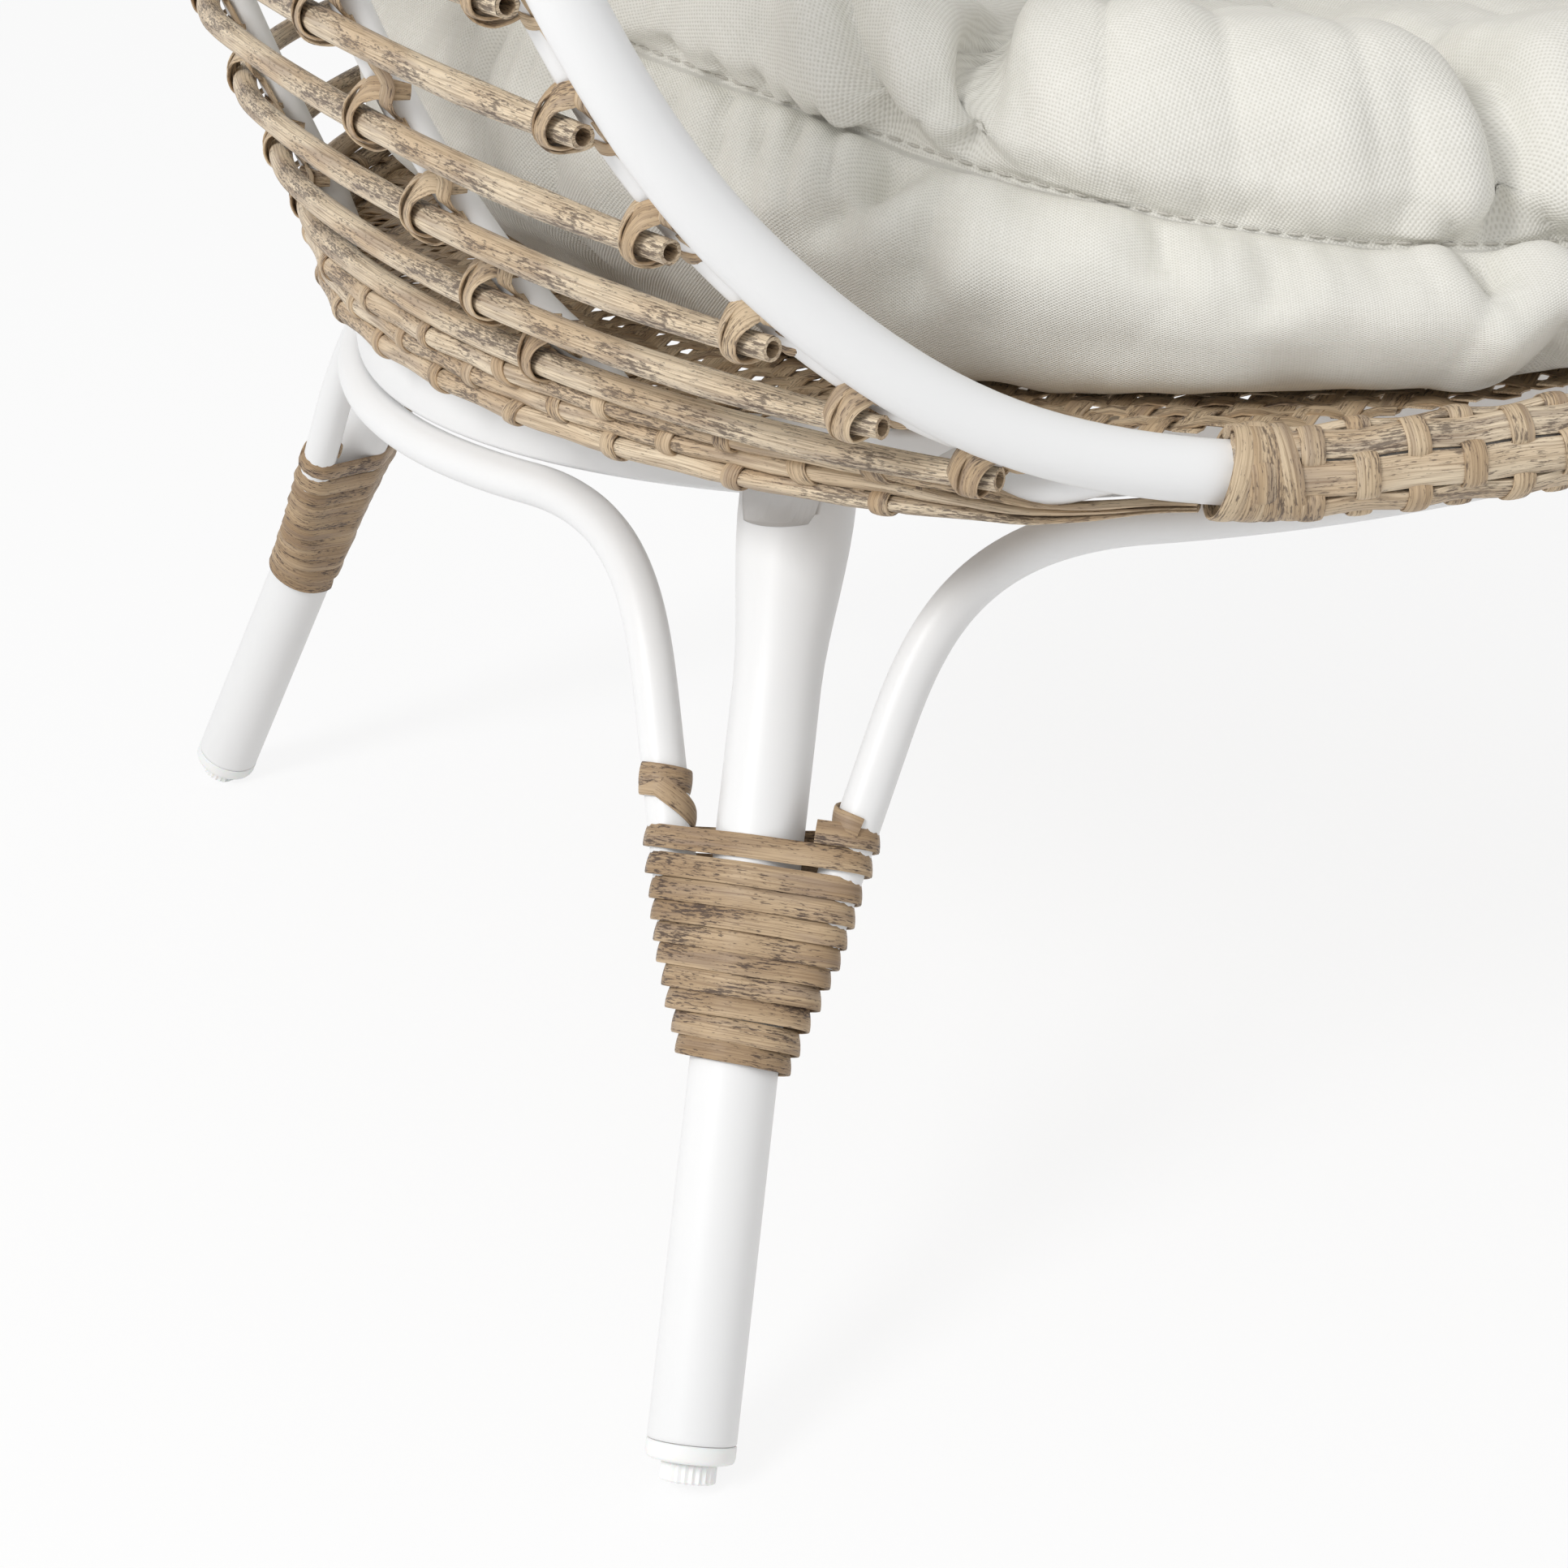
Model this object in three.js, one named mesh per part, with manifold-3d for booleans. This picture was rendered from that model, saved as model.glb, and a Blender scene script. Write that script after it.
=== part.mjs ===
// Standing egg chair: a rattan lattice shell on a white tubular frame, four splayed legs and two cushions.
// Millimetres, +Z up, -Y front. The geometry is laid out about the leg ring's centre, and the finished
// chair is then moved along Y so that the origin lies on the floor under the middle of its outline.
import * as THREE from 'three';
import { mergeVertices } from 'three/addons/utils/BufferGeometryUtils.js';
import Module from 'manifold-3d';

const wasm = await Module();
wasm.setup();

// ---------------------------------------------------------------- driving dimensions

const FIT = 0.3;                    // gap between metal pieces that are welded or seated on each other
const SOFT_GAP = 1;                 // gap between a cushion and what it leans on
const QUARTER = Math.PI / 2;
const smooth = (value) => THREE.MathUtils.smoothstep(value, 0, 1);
const radians = THREE.MathUtils.degToRad;

const RING_RADIUS = 360;            // leg ring: outer face
const RING_WIDTH = 20;
const RING_HEIGHT = 30;
const RING_BOTTOM = 331.5;
const RING_SIDES = 48;
const RING_TOP = RING_BOTTOM + RING_HEIGHT;

const LEG_RADIUS = 17.5;            // leg tube, its wall and the flared top
const LEG_WALL = 1.5;
const LEG_FLARE_RADIUS = 23.3;
const LEG_FLARE_LENGTH = 72;
const LEG_TOP_OUT = 2;              // leg's axis outside the ring's outer face, at the ring
const LEG_SPLAY = 201;              // and how much further out at the foot
const LEG_TOP_RADIUS = RING_RADIUS + LEG_TOP_OUT;
const LEG_FOOT_RADIUS = LEG_TOP_RADIUS + LEG_SPLAY;
const LEG_SWING = 1;                // degrees that the leg's top stands round from its foot, towards the X axis
const LEG_SIDES = 12;

const CAP_SHOW = 7;                 // end cap: part that shows, and the plug inside the leg
const CAP_PLUG = 20;
const FOOT_RADIUS = 11;             // levelling foot: ribbed pad and screw
const FOOT_HEIGHT = 8;
const FOOT_RIBS = 12;
const FOOT_RIB_DEPTH = 0.8;
const FOOT_FLAT = 2.2;              // how deep the floor cuts into the pad's lower edge
const STEM_RADIUS = 4;
const STEM_LENGTH = 30;
const FOOT_GAP = 0.5;               // pad to cap, screwed fully in

const ARCH_RADIUS = 9;              // arched rods between the legs
const ARCH_SIDES = 8;
const ARCH_RING_ANGLE = 22;         // degrees from the leg where the rod leaves the ring
const ARCH_BEND_DROP = 88;          // where the bend ends, measured down the leg
const ARCH_BEND_OFFSET = 49;        // rod to leg, centre to centre, there
const ARCH_END_DROP = 180;
const ARCH_HANDLE = 46;             // lengths of the bend's two tangents, at the leg and at the ring
const ARCH_RING_HANDLE = 66;

const WRAP_TOP = 125;               // leg binding: start and end, measured down the leg
const WRAP_BOTTOM = 228;
const WRAP_WIDTH = 8.7;             // flat strap: width, thickness, and the gap between two turns
const WRAP_THICKNESS = 1.3;
const WRAP_GAP = 0.6;
const WRAP_STEPS = 12;              // steps in a turn
const WRAP_DRAW_IN = 188;           // where the binding starts to close in below the rods
const WRAP_DRAW_SHARE = 0.96;       // and how far it closes in on the leg

const BOLT_RADIUS = 3;              // dome-headed bolts up through the ring
const BOLT_HEAD_RADIUS = 6.5;
const BOLT_HEAD_HEIGHT = 4;
const BOLT_CLEARANCE = 0.3;
const BOLT_DEPTH = 12;              // reach into the seat rail
const BOLT_ANGLE = 5.9;             // degrees beside a leg

const RIM_RADIUS = 11.5;            // rim tube
const RIM_SIDES = 10;
const RIM_STEPS = 66;
const HOOP_RADIUS = 8;              // seat hoop on the ring, and the two seat rails across it
const HOOP_SIDES = 8;
const HOOP_STEPS = 26;
const HOOP_END = 0.93;              // where the hoop turns up to the rim, as a share of the half outline
const HOOP_WELD = 0.25;             // level on the rim where its end is welded
const RAIL_SIZE = 20;
const RAIL_SHIFT = 0.3;
const RAIL_INSET = 4;               // rail end's corner inside the hoop's centre line

const ROD_RADIUS = 7.5;             // upright rods inside the strands
const ROD_SIDES = 5;
const ROD_PLACES = [0, 0.235, 0.47, 0.755];   // share of the half outline, from the middle of the back
const ROD_STOPS = [9.45, 9.35, 9.1, 8.75];  // level where each rod turns to the rim
const ROD_TOPS = [0, 40, 86, 134];          // sideways place on the rim where each rod is welded
const ROD_STAND_OFF = 0.4;          // rod to strand
const ROD_FOOT_LIFT = 3;            // rod's lower end above the hoop's centre line
const EDGE_GAP = 27;                // edge rod behind the rim, measured along a strand
const EDGE_FOOT = 0.9;              // its foot on the hoop
const EDGE_STOP = 8.6;
const EDGE_TOP = 190;

const STRAND_RADIUS = 5.5;          // round rattan strands
const STRAND_SIDES = 6;
const STRAND_FIRST = 33.5;          // height of the first strand at the rim, over the ring's top
const STRAND_PITCH = 47;            // spacing of the strands along the rim, low down
const STRAND_PITCH_HIGH = 54;       // and above the low rows
const STRAND_LOW_ROWS = 6;
const STRAND_ROWS = 17;             // rows that each have a strand, and then every second row
const STRAND_NODES = 19;
const STRAND_END = 16;              // strand end to the rim's centre line
const STRAND_STEPS = [2, 2, 3, 2];  // steps between neighbouring rods, from the middle of the back

const BAND_THICKNESS = 8;           // woven base band of three rows
const BAND_OUT = 4;               // middle of the band outside the shell's base line
const BAND_LEAN = 0.25;             // and how far it leans out with the shell
const BAND_ROWS = 3;
const BAND_TOP = 35.9;              // its upper edge over the ring's top, its lower edge, and the upper edge in front
const BAND_BOTTOM = 4.5;
const BAND_FRONT_TOP = 16.5;
const BAND_FLUTE = 1.6;
const BAND_END = 0.885;             // where the band stops, as a share of the half outline
const BAND_STEPS = 28;

const LIP_HALF = 176;               // woven sleeve on the rim's front: half length, radius on a row
const LIP_RADIUS = 14.3;
const LIP_BACK_SIDES = 5;
const LIP_STEPS = 12;

const TRAY_THICKNESS = 5;           // woven seat tray
const TRAY_INSET = 3;               // its edge inside the ring's outer face, and behind the rim's front
const TRAY_FRONT_INSET = 27;
const TRAY_POWER = 2.3;
const TRAY_POINTS = 48;

const SEAT_CENTRE_Y = -60;          // seat cushion: middle of its flat underside
const SEAT_INSET = 60;              // underside's edge inside the ring's outer face, the rim's front and the back
const SEAT_FRONT_INSET = 22;
const SEAT_BACK_INSET = 39;
const SEAT_SPREAD = 45;             // how far its sides spread as they follow the shell, and over what height
const SEAT_SPREAD_RISE = 80;
const SEAM_FRONT = 45.6;            // height of the sewn seam over the underside at the front
const SEAM_RISE = 110;              // and how far and how fast it climbs to the sides
const SEAM_CLIMB = 98;
const PUFF_FRONT = 75;              // height of the upper lobes over the seam
const PUFF_SIDE = 42;
const SEAT_DISH = 104;              // height of the middle over the underside
const SEAT_LOBES = 12;
const SEAT_FOLD_ANGLE = -98.7;      // degrees of one fold between two lobes
const BACK_LOW = 2.85;              // back cushion: levels, reach to the sides, thickness
const BACK_HIGH = 8.6;
const BACK_REACH = 0.66;
const BACK_THICKNESS = 104;
const BACK_LOBES = 10;
const BACK_FOLD_ANGLE = -90;
const FOLD_POWER = 6;               // how sharp the folds are
const LOBE_STEPS = 4;               // steps in a lobe

const SHELL_HEIGHT = 1070.5;        // top of the rim over the ring's top

// The shell is drawn through eleven levels. Each has a point of the rim, the half width at the widest
// place, and a point on the middle of the back. In plan they are drawn in parts, 360 to the ring's
// radius, and in height over the ring's top in parts that the crown's own height tells.
const RING_PARTS = 360;
const LEVELS = [
  { rim: [185, -441, 19.5], half: 365, back: [364, 21.5] },
  { rim: [262, -420, 49.5], half: 377, back: [375, 58.5] },
  { rim: [335, -400, 120.5], half: 399, back: [390, 136.5] },
  { rim: [380, -387, 209.5], half: 417, back: [403, 224.5] },
  { rim: [409, -364, 338.5], half: 434, back: [412, 353.5] },
  { rim: [418, -338, 478.5], half: 438, back: [413, 500.5] },
  { rim: [402, -308, 638.5], half: 423, back: [397, 660.5] },
  { rim: [357, -280, 778.5], half: 376, back: [351, 800.5] },
  { rim: [278, -256, 903.5], half: 295, back: [252, 923.5] },
  { rim: [177, -239, 998.5], half: 190, back: [95, 1019.5] },
  { rim: [72, -228, 1058.5], half: 77, back: [-222, 1066.5] },
];
const LIP = [[0, -479, 13.5], [100, -467, 14.5]];   // front of the rim, middle and side
const CROWN = [0, -226, 1070.5];                    // top of the rim
const SPREAD = RING_RADIUS / RING_PARTS;
const RISE = SHELL_HEIGHT / CROWN[2];
const WIDEST = 0.55;                // place of the widest point between the rim and the back
const BACK_SHARE = 0.54;            // share of the half outline that is the back's quarter
const RIM_STAND_OFF = 13.5;         // how far outside the rim's centre line the strands pass
const RISE_START = 0.45;            // where a strand starts to fall towards the rim
const RISE_POWER = 1.5;

// ---------------------------------------------------------------- materials

const WHITE = { color: 0xeeeeec, roughness: 0.45, metalness: 0.0 };
const RATTAN = { color: 0xa88a66, roughness: 0.6, metalness: 0.0 };
const CANVAS = { color: 0xe4e0d6, roughness: 0.9, metalness: 0.0 };
const PLASTIC = { color: 0xf2f2f0, roughness: 0.5, metalness: 0.0 };
const STEEL = { color: 0xc4c6c8, roughness: 0.25, metalness: 1.0 };

function mesh(name, geometry, finish) {
  const piece = new THREE.Mesh(geometry, new THREE.MeshStandardMaterial(finish));
  piece.name = name;
  return piece;
}

// ---------------------------------------------------------------- geometry helpers

// A run of straight pieces through given points, so that a swept tube has its sections there.
class Route extends THREE.Curve {
  constructor(points) {
    super();
    this.points = points;
  }

  getPoint(t, target = new THREE.Vector3()) {
    const place = t * (this.points.length - 1);
    const low = Math.min(Math.floor(place + 1e-9), this.points.length - 2);
    return target.lerpVectors(this.points[low], this.points[low + 1], place - low);
  }

  getPointAt(t, target) {
    return this.getPoint(t, target);
  }

  getTangentAt(t, target = new THREE.Vector3()) {
    const last = this.points.length - 1;
    const here = Math.round(t * last);
    const before = this.points[Math.max(here - 1, 0)];
    const after = this.points[Math.min(here + 1, last)];
    return target.subVectors(after, before).normalize();
  }
}

function signedVolume(geometry) {
  const index = geometry.index.array;
  const corners = [new THREE.Vector3(), new THREE.Vector3(), new THREE.Vector3()];
  let total = 0;
  for (let i = 0; i < index.length; i += 3) {
    corners.forEach((corner, k) => corner.fromBufferAttribute(geometry.attributes.position, index[i + k]));
    total += corners[0].dot(corners[1].cross(corners[2])) / 6;
  }
  return total;
}

// Merges shared corners and turns the faces outwards.
function closed(geometry) {
  const bare = geometry.clone();
  bare.deleteAttribute('normal');
  bare.deleteAttribute('uv');
  const merged = mergeVertices(bare, 1e-3);
  if (signedVolume(merged) < 0) {
    const index = merged.index.array;
    for (let i = 0; i < index.length; i += 3) {
      [index[i], index[i + 1]] = [index[i + 1], index[i]];
    }
  }
  merged.computeVertexNormals();
  return merged;
}

function solid(geometry) {
  const body = closed(geometry);
  return new wasm.Manifold(new wasm.Mesh({
    numProp: 3,
    vertProperties: new Float32Array(body.attributes.position.array),
    triVerts: new Uint32Array(body.index.array),
  }));
}

function fromSolid(body) {
  const { vertProperties, triVerts } = body.getMesh();
  const geometry = new THREE.BufferGeometry();
  geometry.setAttribute('position', new THREE.BufferAttribute(new Float32Array(vertProperties), 3));
  geometry.setIndex(new THREE.BufferAttribute(new Uint32Array(triVerts), 1));
  geometry.computeVertexNormals();
  return geometry;
}

function cut(geometry, ...tools) {
  return fromSolid(tools.reduce((body, tool) => body.subtract(solid(tool)), solid(geometry)));
}

function polygon(radius, sides) {
  const points = [];
  for (let i = 0; i < sides; i += 1) {
    const angle = (2 * Math.PI * i) / sides;
    points.push(new THREE.Vector2(radius * Math.cos(angle), radius * Math.sin(angle)));
  }
  return new THREE.Shape(points);
}

function tube(points, radius, sides) {
  return closed(new THREE.ExtrudeGeometry(polygon(radius, sides), {
    steps: points.length - 1,
    bevelEnabled: false,
    extrudePath: new Route(points),
  }));
}

// A body of revolution about +Z, from a closed profile of [radius, height] pairs.
function turned(profile, sides) {
  const points = profile.map(([radius, height]) => new THREE.Vector2(radius, height));
  return closed(new THREE.LatheGeometry(points, sides).rotateX(QUARTER));
}

// Joins rings of equal counts into one closed body, with a fan over each end.
function loft(rings) {
  const count = rings[0].length;
  const positions = rings.flat().flatMap((point) => point.toArray());
  const index = [];
  for (let i = 0; i < rings.length - 1; i += 1) {
    for (let j = 0; j < count; j += 1) {
      const a = i * count + j;
      const b = i * count + ((j + 1) % count);
      index.push(a, b, b + count, a, b + count, a + count);
    }
  }
  [[rings[0], 0, 1], [rings.at(-1), (rings.length - 1) * count, 0]].forEach(([ring, start, flip]) => {
    const middle = ring.reduce((sum, point) => sum.add(point), new THREE.Vector3()).divideScalar(count);
    const centre = positions.length / 3;
    positions.push(...middle.toArray());
    for (let j = 0; j < count; j += 1) {
      const a = start + j;
      const b = start + ((j + 1) % count);
      index.push(centre, flip ? b : a, flip ? a : b);
    }
  });
  const geometry = new THREE.BufferGeometry();
  geometry.setAttribute('position', new THREE.BufferAttribute(new Float32Array(positions), 3));
  geometry.setIndex(index);
  return closed(geometry);
}

// A bar of a given radius and number of sides along points, with one edge kept towards each facing.
function bar(points, facings, radius, sides) {
  const rings = points.map((point, i) => {
    const travel = points[Math.min(i + 1, points.length - 1)].clone().sub(points[Math.max(i - 1, 0)]).normalize();
    const facing = facings[i].clone().addScaledVector(travel, -facings[i].dot(travel)).normalize();
    const across = new THREE.Vector3().crossVectors(travel, facing);
    return Array.from({ length: sides }, (_, k) => {
      const angle = (2 * Math.PI * k) / sides;
      return point.clone().addScaledVector(facing, radius * Math.cos(angle))
        .addScaledVector(across, radius * Math.sin(angle));
    });
  });
  return loft(rings);
}

// A box of the given size about a centre.
function block(size, centre) {
  return new THREE.BoxGeometry(...size).translate(...centre);
}

// ---------------------------------------------------------------- the shell's surface

const TOP_LEVEL = LEVELS.length - 1;
const mirrored = ({ x, y, z }) => new THREE.Vector3(-x, y, z);
const drawn = ([x, y, z]) => new THREE.Vector3(x * SPREAD, y * SPREAD, RING_TOP + z * RISE);
const rimSide = [LIP[1], ...LEVELS.map((level) => level.rim)].map(drawn);
const rimFront = drawn(LIP[0]);
const rimPoints = [rimFront, ...rimSide, drawn(CROWN), ...rimSide.toReversed().map(mirrored)];
const rimCurve = new THREE.CatmullRomCurve3(rimPoints, true, 'centripetal');
const backCurve = new THREE.CatmullRomCurve3(
  LEVELS.map((level) => drawn([level.half, ...level.back])), false, 'centripetal');
const baseSide = backCurve.points[0];

const rimSamples = rimCurve.getSpacedPoints(600);

function rimDistance(point) {
  return Math.min(...rimSamples.map((sample) => sample.distanceTo(point)));
}

function rimAt(level) {
  return rimCurve.getPoint((level + LIP.length) / rimPoints.length);
}

// A point of the surface through the rim's centre line: level from 0 at the base to 10 at the crown, and
// place from -1 at the left rim over 0 at the middle of the back to 1 at the right rim.
function bareShell(level, place) {
  const rim = rimAt(level);
  const back = backCurve.getPoint(Math.min(level / TOP_LEVEL, 1));
  const [half, backY, backZ] = back.toArray();
  const reach = Math.abs(place);
  const widestY = rim.y + WIDEST * (backY - rim.y);
  const turn = Math.acos(Math.min(rim.x / half, 1));
  let x;
  let y;
  if (reach <= BACK_SHARE) {
    const angle = (QUARTER * reach) / BACK_SHARE;
    x = half * Math.sin(angle);
    y = widestY + (backY - widestY) * Math.cos(angle);
  } else {
    const angle = (turn * (reach - BACK_SHARE)) / (1 - BACK_SHARE);
    x = half * Math.cos(angle);
    y = widestY - ((widestY - rim.y) * Math.sin(angle)) / Math.sin(turn);
  }
  const fall = Math.max((reach - RISE_START) / (1 - RISE_START), 0) ** RISE_POWER;
  const z = backZ + (rim.z - backZ) * fall;
  return new THREE.Vector3(place < 0 ? -x : x, y, z);
}

const SHELL_STEP = 0.01;
const SHELL_MIDDLE = new THREE.Vector3(0, -50, 850);

function normalOf(surface, level, place) {
  const low = Math.max(level - SHELL_STEP, 0);
  const inner = Math.abs(place) > 1 - SHELL_STEP ? place - Math.sign(place) * SHELL_STEP : place;
  const along = surface(level + SHELL_STEP, inner).sub(surface(low, inner));
  const across = surface(level, inner + SHELL_STEP).sub(surface(level, inner - SHELL_STEP));
  const normal = along.cross(across).normalize();
  return normal.dot(surface(level, inner).sub(SHELL_MIDDLE)) < 0 ? normal.negate() : normal;
}

// The strands pass outside the rim tube, so towards the rim the shell stands out from that surface.
function shell(level, place) {
  const share = Math.max((Math.abs(place) - RISE_START) / (1 - RISE_START), 0);
  const point = bareShell(level, place);
  return point.addScaledVector(normalOf(bareShell, level, place), RIM_STAND_OFF * smooth(share));
}

function shellNormal(level, place) {
  return normalOf(shell, level, place);
}

// A point under the shell's surface by the given depth.
function inside(level, place, depth) {
  return shell(level, place).addScaledVector(shellNormal(level, place), -depth);
}

// Finds where a rising or falling function of one value passes a target.
function solve(low, high, target, measure) {
  const rising = measure(high) > measure(low);
  let [from, to] = [low, high];
  for (let i = 0; i < 40; i += 1) {
    const middle = (from + to) / 2;
    if ((measure(middle) < target) === rising) {
      from = middle;
    } else {
      to = middle;
    }
  }
  return (from + to) / 2;
}

// Levels of the strand rows, spaced evenly along the rim. A taller shell spaces them further apart.
function strandLevels() {
  const step = 0.01;
  const levels = [solve(0, 3, RING_TOP + STRAND_FIRST, (level) => rimAt(level).z)];
  let walked = 0;
  let from = rimAt(levels[0]);
  for (let level = levels[0] + step; level < ROD_STOPS.at(-1) - step; level += step) {
    const here = rimAt(level);
    walked += here.distanceTo(from);
    from = here;
    const pitch = RISE * (levels.length < STRAND_LOW_ROWS ? STRAND_PITCH : STRAND_PITCH_HIGH);
    if (walked >= pitch) {
      walked -= pitch;
      levels.push(level);
    }
  }
  return levels;
}

const ROWS = strandLevels();
const STRAND_LEVELS = ROWS.filter((level, row) => row < STRAND_ROWS || (row - STRAND_ROWS) % 2 === 1)
  .slice(0, STRAND_NODES);

// ---------------------------------------------------------------- leg ring and its bolts

const RING_MIDDLE = RING_RADIUS - RING_WIDTH / 2;
const HOOP_HEIGHT = RING_TOP + FIT + HOOP_RADIUS;
const LEGS = [
  { name: 'front_left', across: -1, along: -1 },
  { name: 'front_right', across: 1, along: -1 },
  { name: 'back_right', across: 1, along: 1 },
  { name: 'back_left', across: -1, along: 1 },
];

function boltPlaces() {
  const turn = radians(45 - LEG_SWING + BOLT_ANGLE);
  return LEGS.map(({ name, across, along }) => (
    { name, x: across * RING_MIDDLE * Math.cos(turn), y: along * RING_MIDDLE * Math.sin(turn) }));
}

function boltHole({ x, y }, bottom, top) {
  const hole = new THREE.CylinderGeometry(BOLT_RADIUS + BOLT_CLEARANCE, BOLT_RADIUS + BOLT_CLEARANCE,
    top - bottom, ARCH_SIDES);
  return hole.rotateX(QUARTER).translate(x, y, (top + bottom) / 2);
}

function legRing() {
  const inner = RING_RADIUS - RING_WIDTH;
  const band = turned([[inner, RING_BOTTOM], [RING_RADIUS, RING_BOTTOM], [RING_RADIUS, RING_TOP],
    [inner, RING_TOP], [inner, RING_BOTTOM]], RING_SIDES);
  return cut(band, ...boltPlaces().map((place) => boltHole(place, RING_BOTTOM - 1, RING_TOP + 1)));
}

function ringBolt() {
  const under = RING_BOTTOM - FIT;
  const tip = RING_TOP + BOLT_DEPTH;
  return turned([[0, under - BOLT_HEAD_HEIGHT], [BOLT_HEAD_RADIUS * 0.7, under - BOLT_HEAD_HEIGHT * 0.8],
    [BOLT_HEAD_RADIUS, under - BOLT_HEAD_HEIGHT * 0.3], [BOLT_HEAD_RADIUS, under], [BOLT_RADIUS, under],
    [BOLT_RADIUS, tip], [0, tip]], ARCH_SIDES);
}

// ---------------------------------------------------------------- legs, caps and levelling feet

// Each leg is drawn along its own axis, from the foot up, and its group leans it in towards the ring.
// The one at the back right is laid out here, and its rods are drawn from it.
function onCircle(radius, degrees, height) {
  return new THREE.Vector3(radius * Math.cos(radians(degrees)), radius * Math.sin(radians(degrees)), height);
}

const LEG_FOOT = onCircle(LEG_FOOT_RADIUS, 45, 0);
const LEG_TOP = onCircle(LEG_TOP_RADIUS, 45 - LEG_SWING, RING_BOTTOM);
const LEG_HEADING = Math.atan2(LEG_FOOT.y - LEG_TOP.y, LEG_FOOT.x - LEG_TOP.x);
const LEG_RUN = Math.hypot(LEG_FOOT.x - LEG_TOP.x, LEG_FOOT.y - LEG_TOP.y);
const LEG_LEAN = Math.atan(LEG_RUN / RING_BOTTOM);
const FOOT_LIFT = FOOT_RADIUS * Math.sin(LEG_LEAN) - FOOT_FLAT;
const LEG_LENGTH = (RING_BOTTOM - FOOT_LIFT) / Math.cos(LEG_LEAN);
const CAP_BOTTOM = FOOT_HEIGHT + FOOT_GAP;
const LEG_BOTTOM = CAP_BOTTOM + CAP_SHOW + FIT;
const CUT_SIZE = LEG_LENGTH;         // side of the block that trims a leg or a foot level

// The half space beyond a level plane, in a leg's own frame.
function levelCut(height, above) {
  const middle = height - FOOT_LIFT + (above ? 1 : -1) * (CUT_SIZE / 2);
  const slab = block([CUT_SIZE, CUT_SIZE, CUT_SIZE], [0, 0, 0]);
  slab.rotateY(LEG_LEAN);
  const axial = (height - FOOT_LIFT) / Math.cos(LEG_LEAN);
  const offset = middle - (height - FOOT_LIFT);
  return slab.translate(offset * Math.sin(LEG_LEAN), 0, axial + offset * Math.cos(LEG_LEAN));
}

function legTube() {
  const flare = LEG_LENGTH - LEG_FLARE_LENGTH;
  const top = LEG_LENGTH + LEG_FLARE_RADIUS;
  const bore = LEG_RADIUS - LEG_WALL;
  const profile = [[bore, LEG_BOTTOM], [LEG_RADIUS, LEG_BOTTOM], [LEG_RADIUS, flare],
    [LEG_FLARE_RADIUS, LEG_LENGTH], [LEG_FLARE_RADIUS, top], [LEG_FLARE_RADIUS - LEG_WALL, top],
    [LEG_FLARE_RADIUS - LEG_WALL, LEG_LENGTH], [bore, flare], [bore, LEG_BOTTOM]];
  return cut(turned(profile, LEG_SIDES), levelCut(RING_BOTTOM - FIT, true));
}

function legCap() {
  const hole = STEM_RADIUS + FIT;
  const shoulder = CAP_BOTTOM + CAP_SHOW;
  const plug = LEG_RADIUS - LEG_WALL - FIT;
  const chamfer = 1;
  return turned([[hole, CAP_BOTTOM], [LEG_RADIUS - chamfer, CAP_BOTTOM], [LEG_RADIUS, CAP_BOTTOM + chamfer],
    [LEG_RADIUS, shoulder], [plug * Math.cos(Math.PI / LEG_SIDES), shoulder],
    [plug * Math.cos(Math.PI / LEG_SIDES), shoulder + CAP_PLUG], [hole, shoulder + CAP_PLUG],
    [hole, CAP_BOTTOM]], LEG_SIDES);
}

function levellingFoot() {
  const points = [];
  for (let i = 0; i < FOOT_RIBS * 2; i += 1) {
    const radius = FOOT_RADIUS - (i % 2) * FOOT_RIB_DEPTH;
    const angle = (Math.PI * i) / FOOT_RIBS;
    points.push(new THREE.Vector2(radius * Math.cos(angle), radius * Math.sin(angle)));
  }
  const pad = new THREE.ExtrudeGeometry(new THREE.Shape(points), { depth: FOOT_HEIGHT, bevelEnabled: false });
  const stem = new THREE.CylinderGeometry(STEM_RADIUS, STEM_RADIUS, STEM_LENGTH, LEG_SIDES / 2)
    .rotateX(QUARTER).translate(0, 0, FOOT_HEIGHT + STEM_LENGTH / 2 - 1);
  const whole = solid(pad).add(solid(stem));
  return fromSolid(whole.subtract(solid(levelCut(0, false))));
}

// ---------------------------------------------------------------- arched rods and leg bindings

// Centre distance of a rod from the leg's axis, at a drop measured down the leg.
const ARCH_END_OFFSET = LEG_RADIUS + ARCH_RADIUS + FIT;
const ARCH_SLOPE = (ARCH_BEND_OFFSET - ARCH_END_OFFSET) / (ARCH_END_DROP - ARCH_BEND_DROP);

function rodOffset(drop) {
  return ARCH_END_OFFSET + (ARCH_END_DROP - drop) * ARCH_SLOPE;
}

// A point beside the back right leg: side is positive towards the X axis, drop is down the leg.
function besideLeg(side, drop) {
  const climbed = LEG_LENGTH - drop;
  const inward = climbed * Math.sin(LEG_LEAN);
  return new THREE.Vector3(LEG_FOOT.x - inward * Math.cos(LEG_HEADING) + side * Math.sin(LEG_HEADING),
    LEG_FOOT.y - inward * Math.sin(LEG_HEADING) - side * Math.cos(LEG_HEADING),
    FOOT_LIFT + climbed * Math.cos(LEG_LEAN));
}

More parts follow.
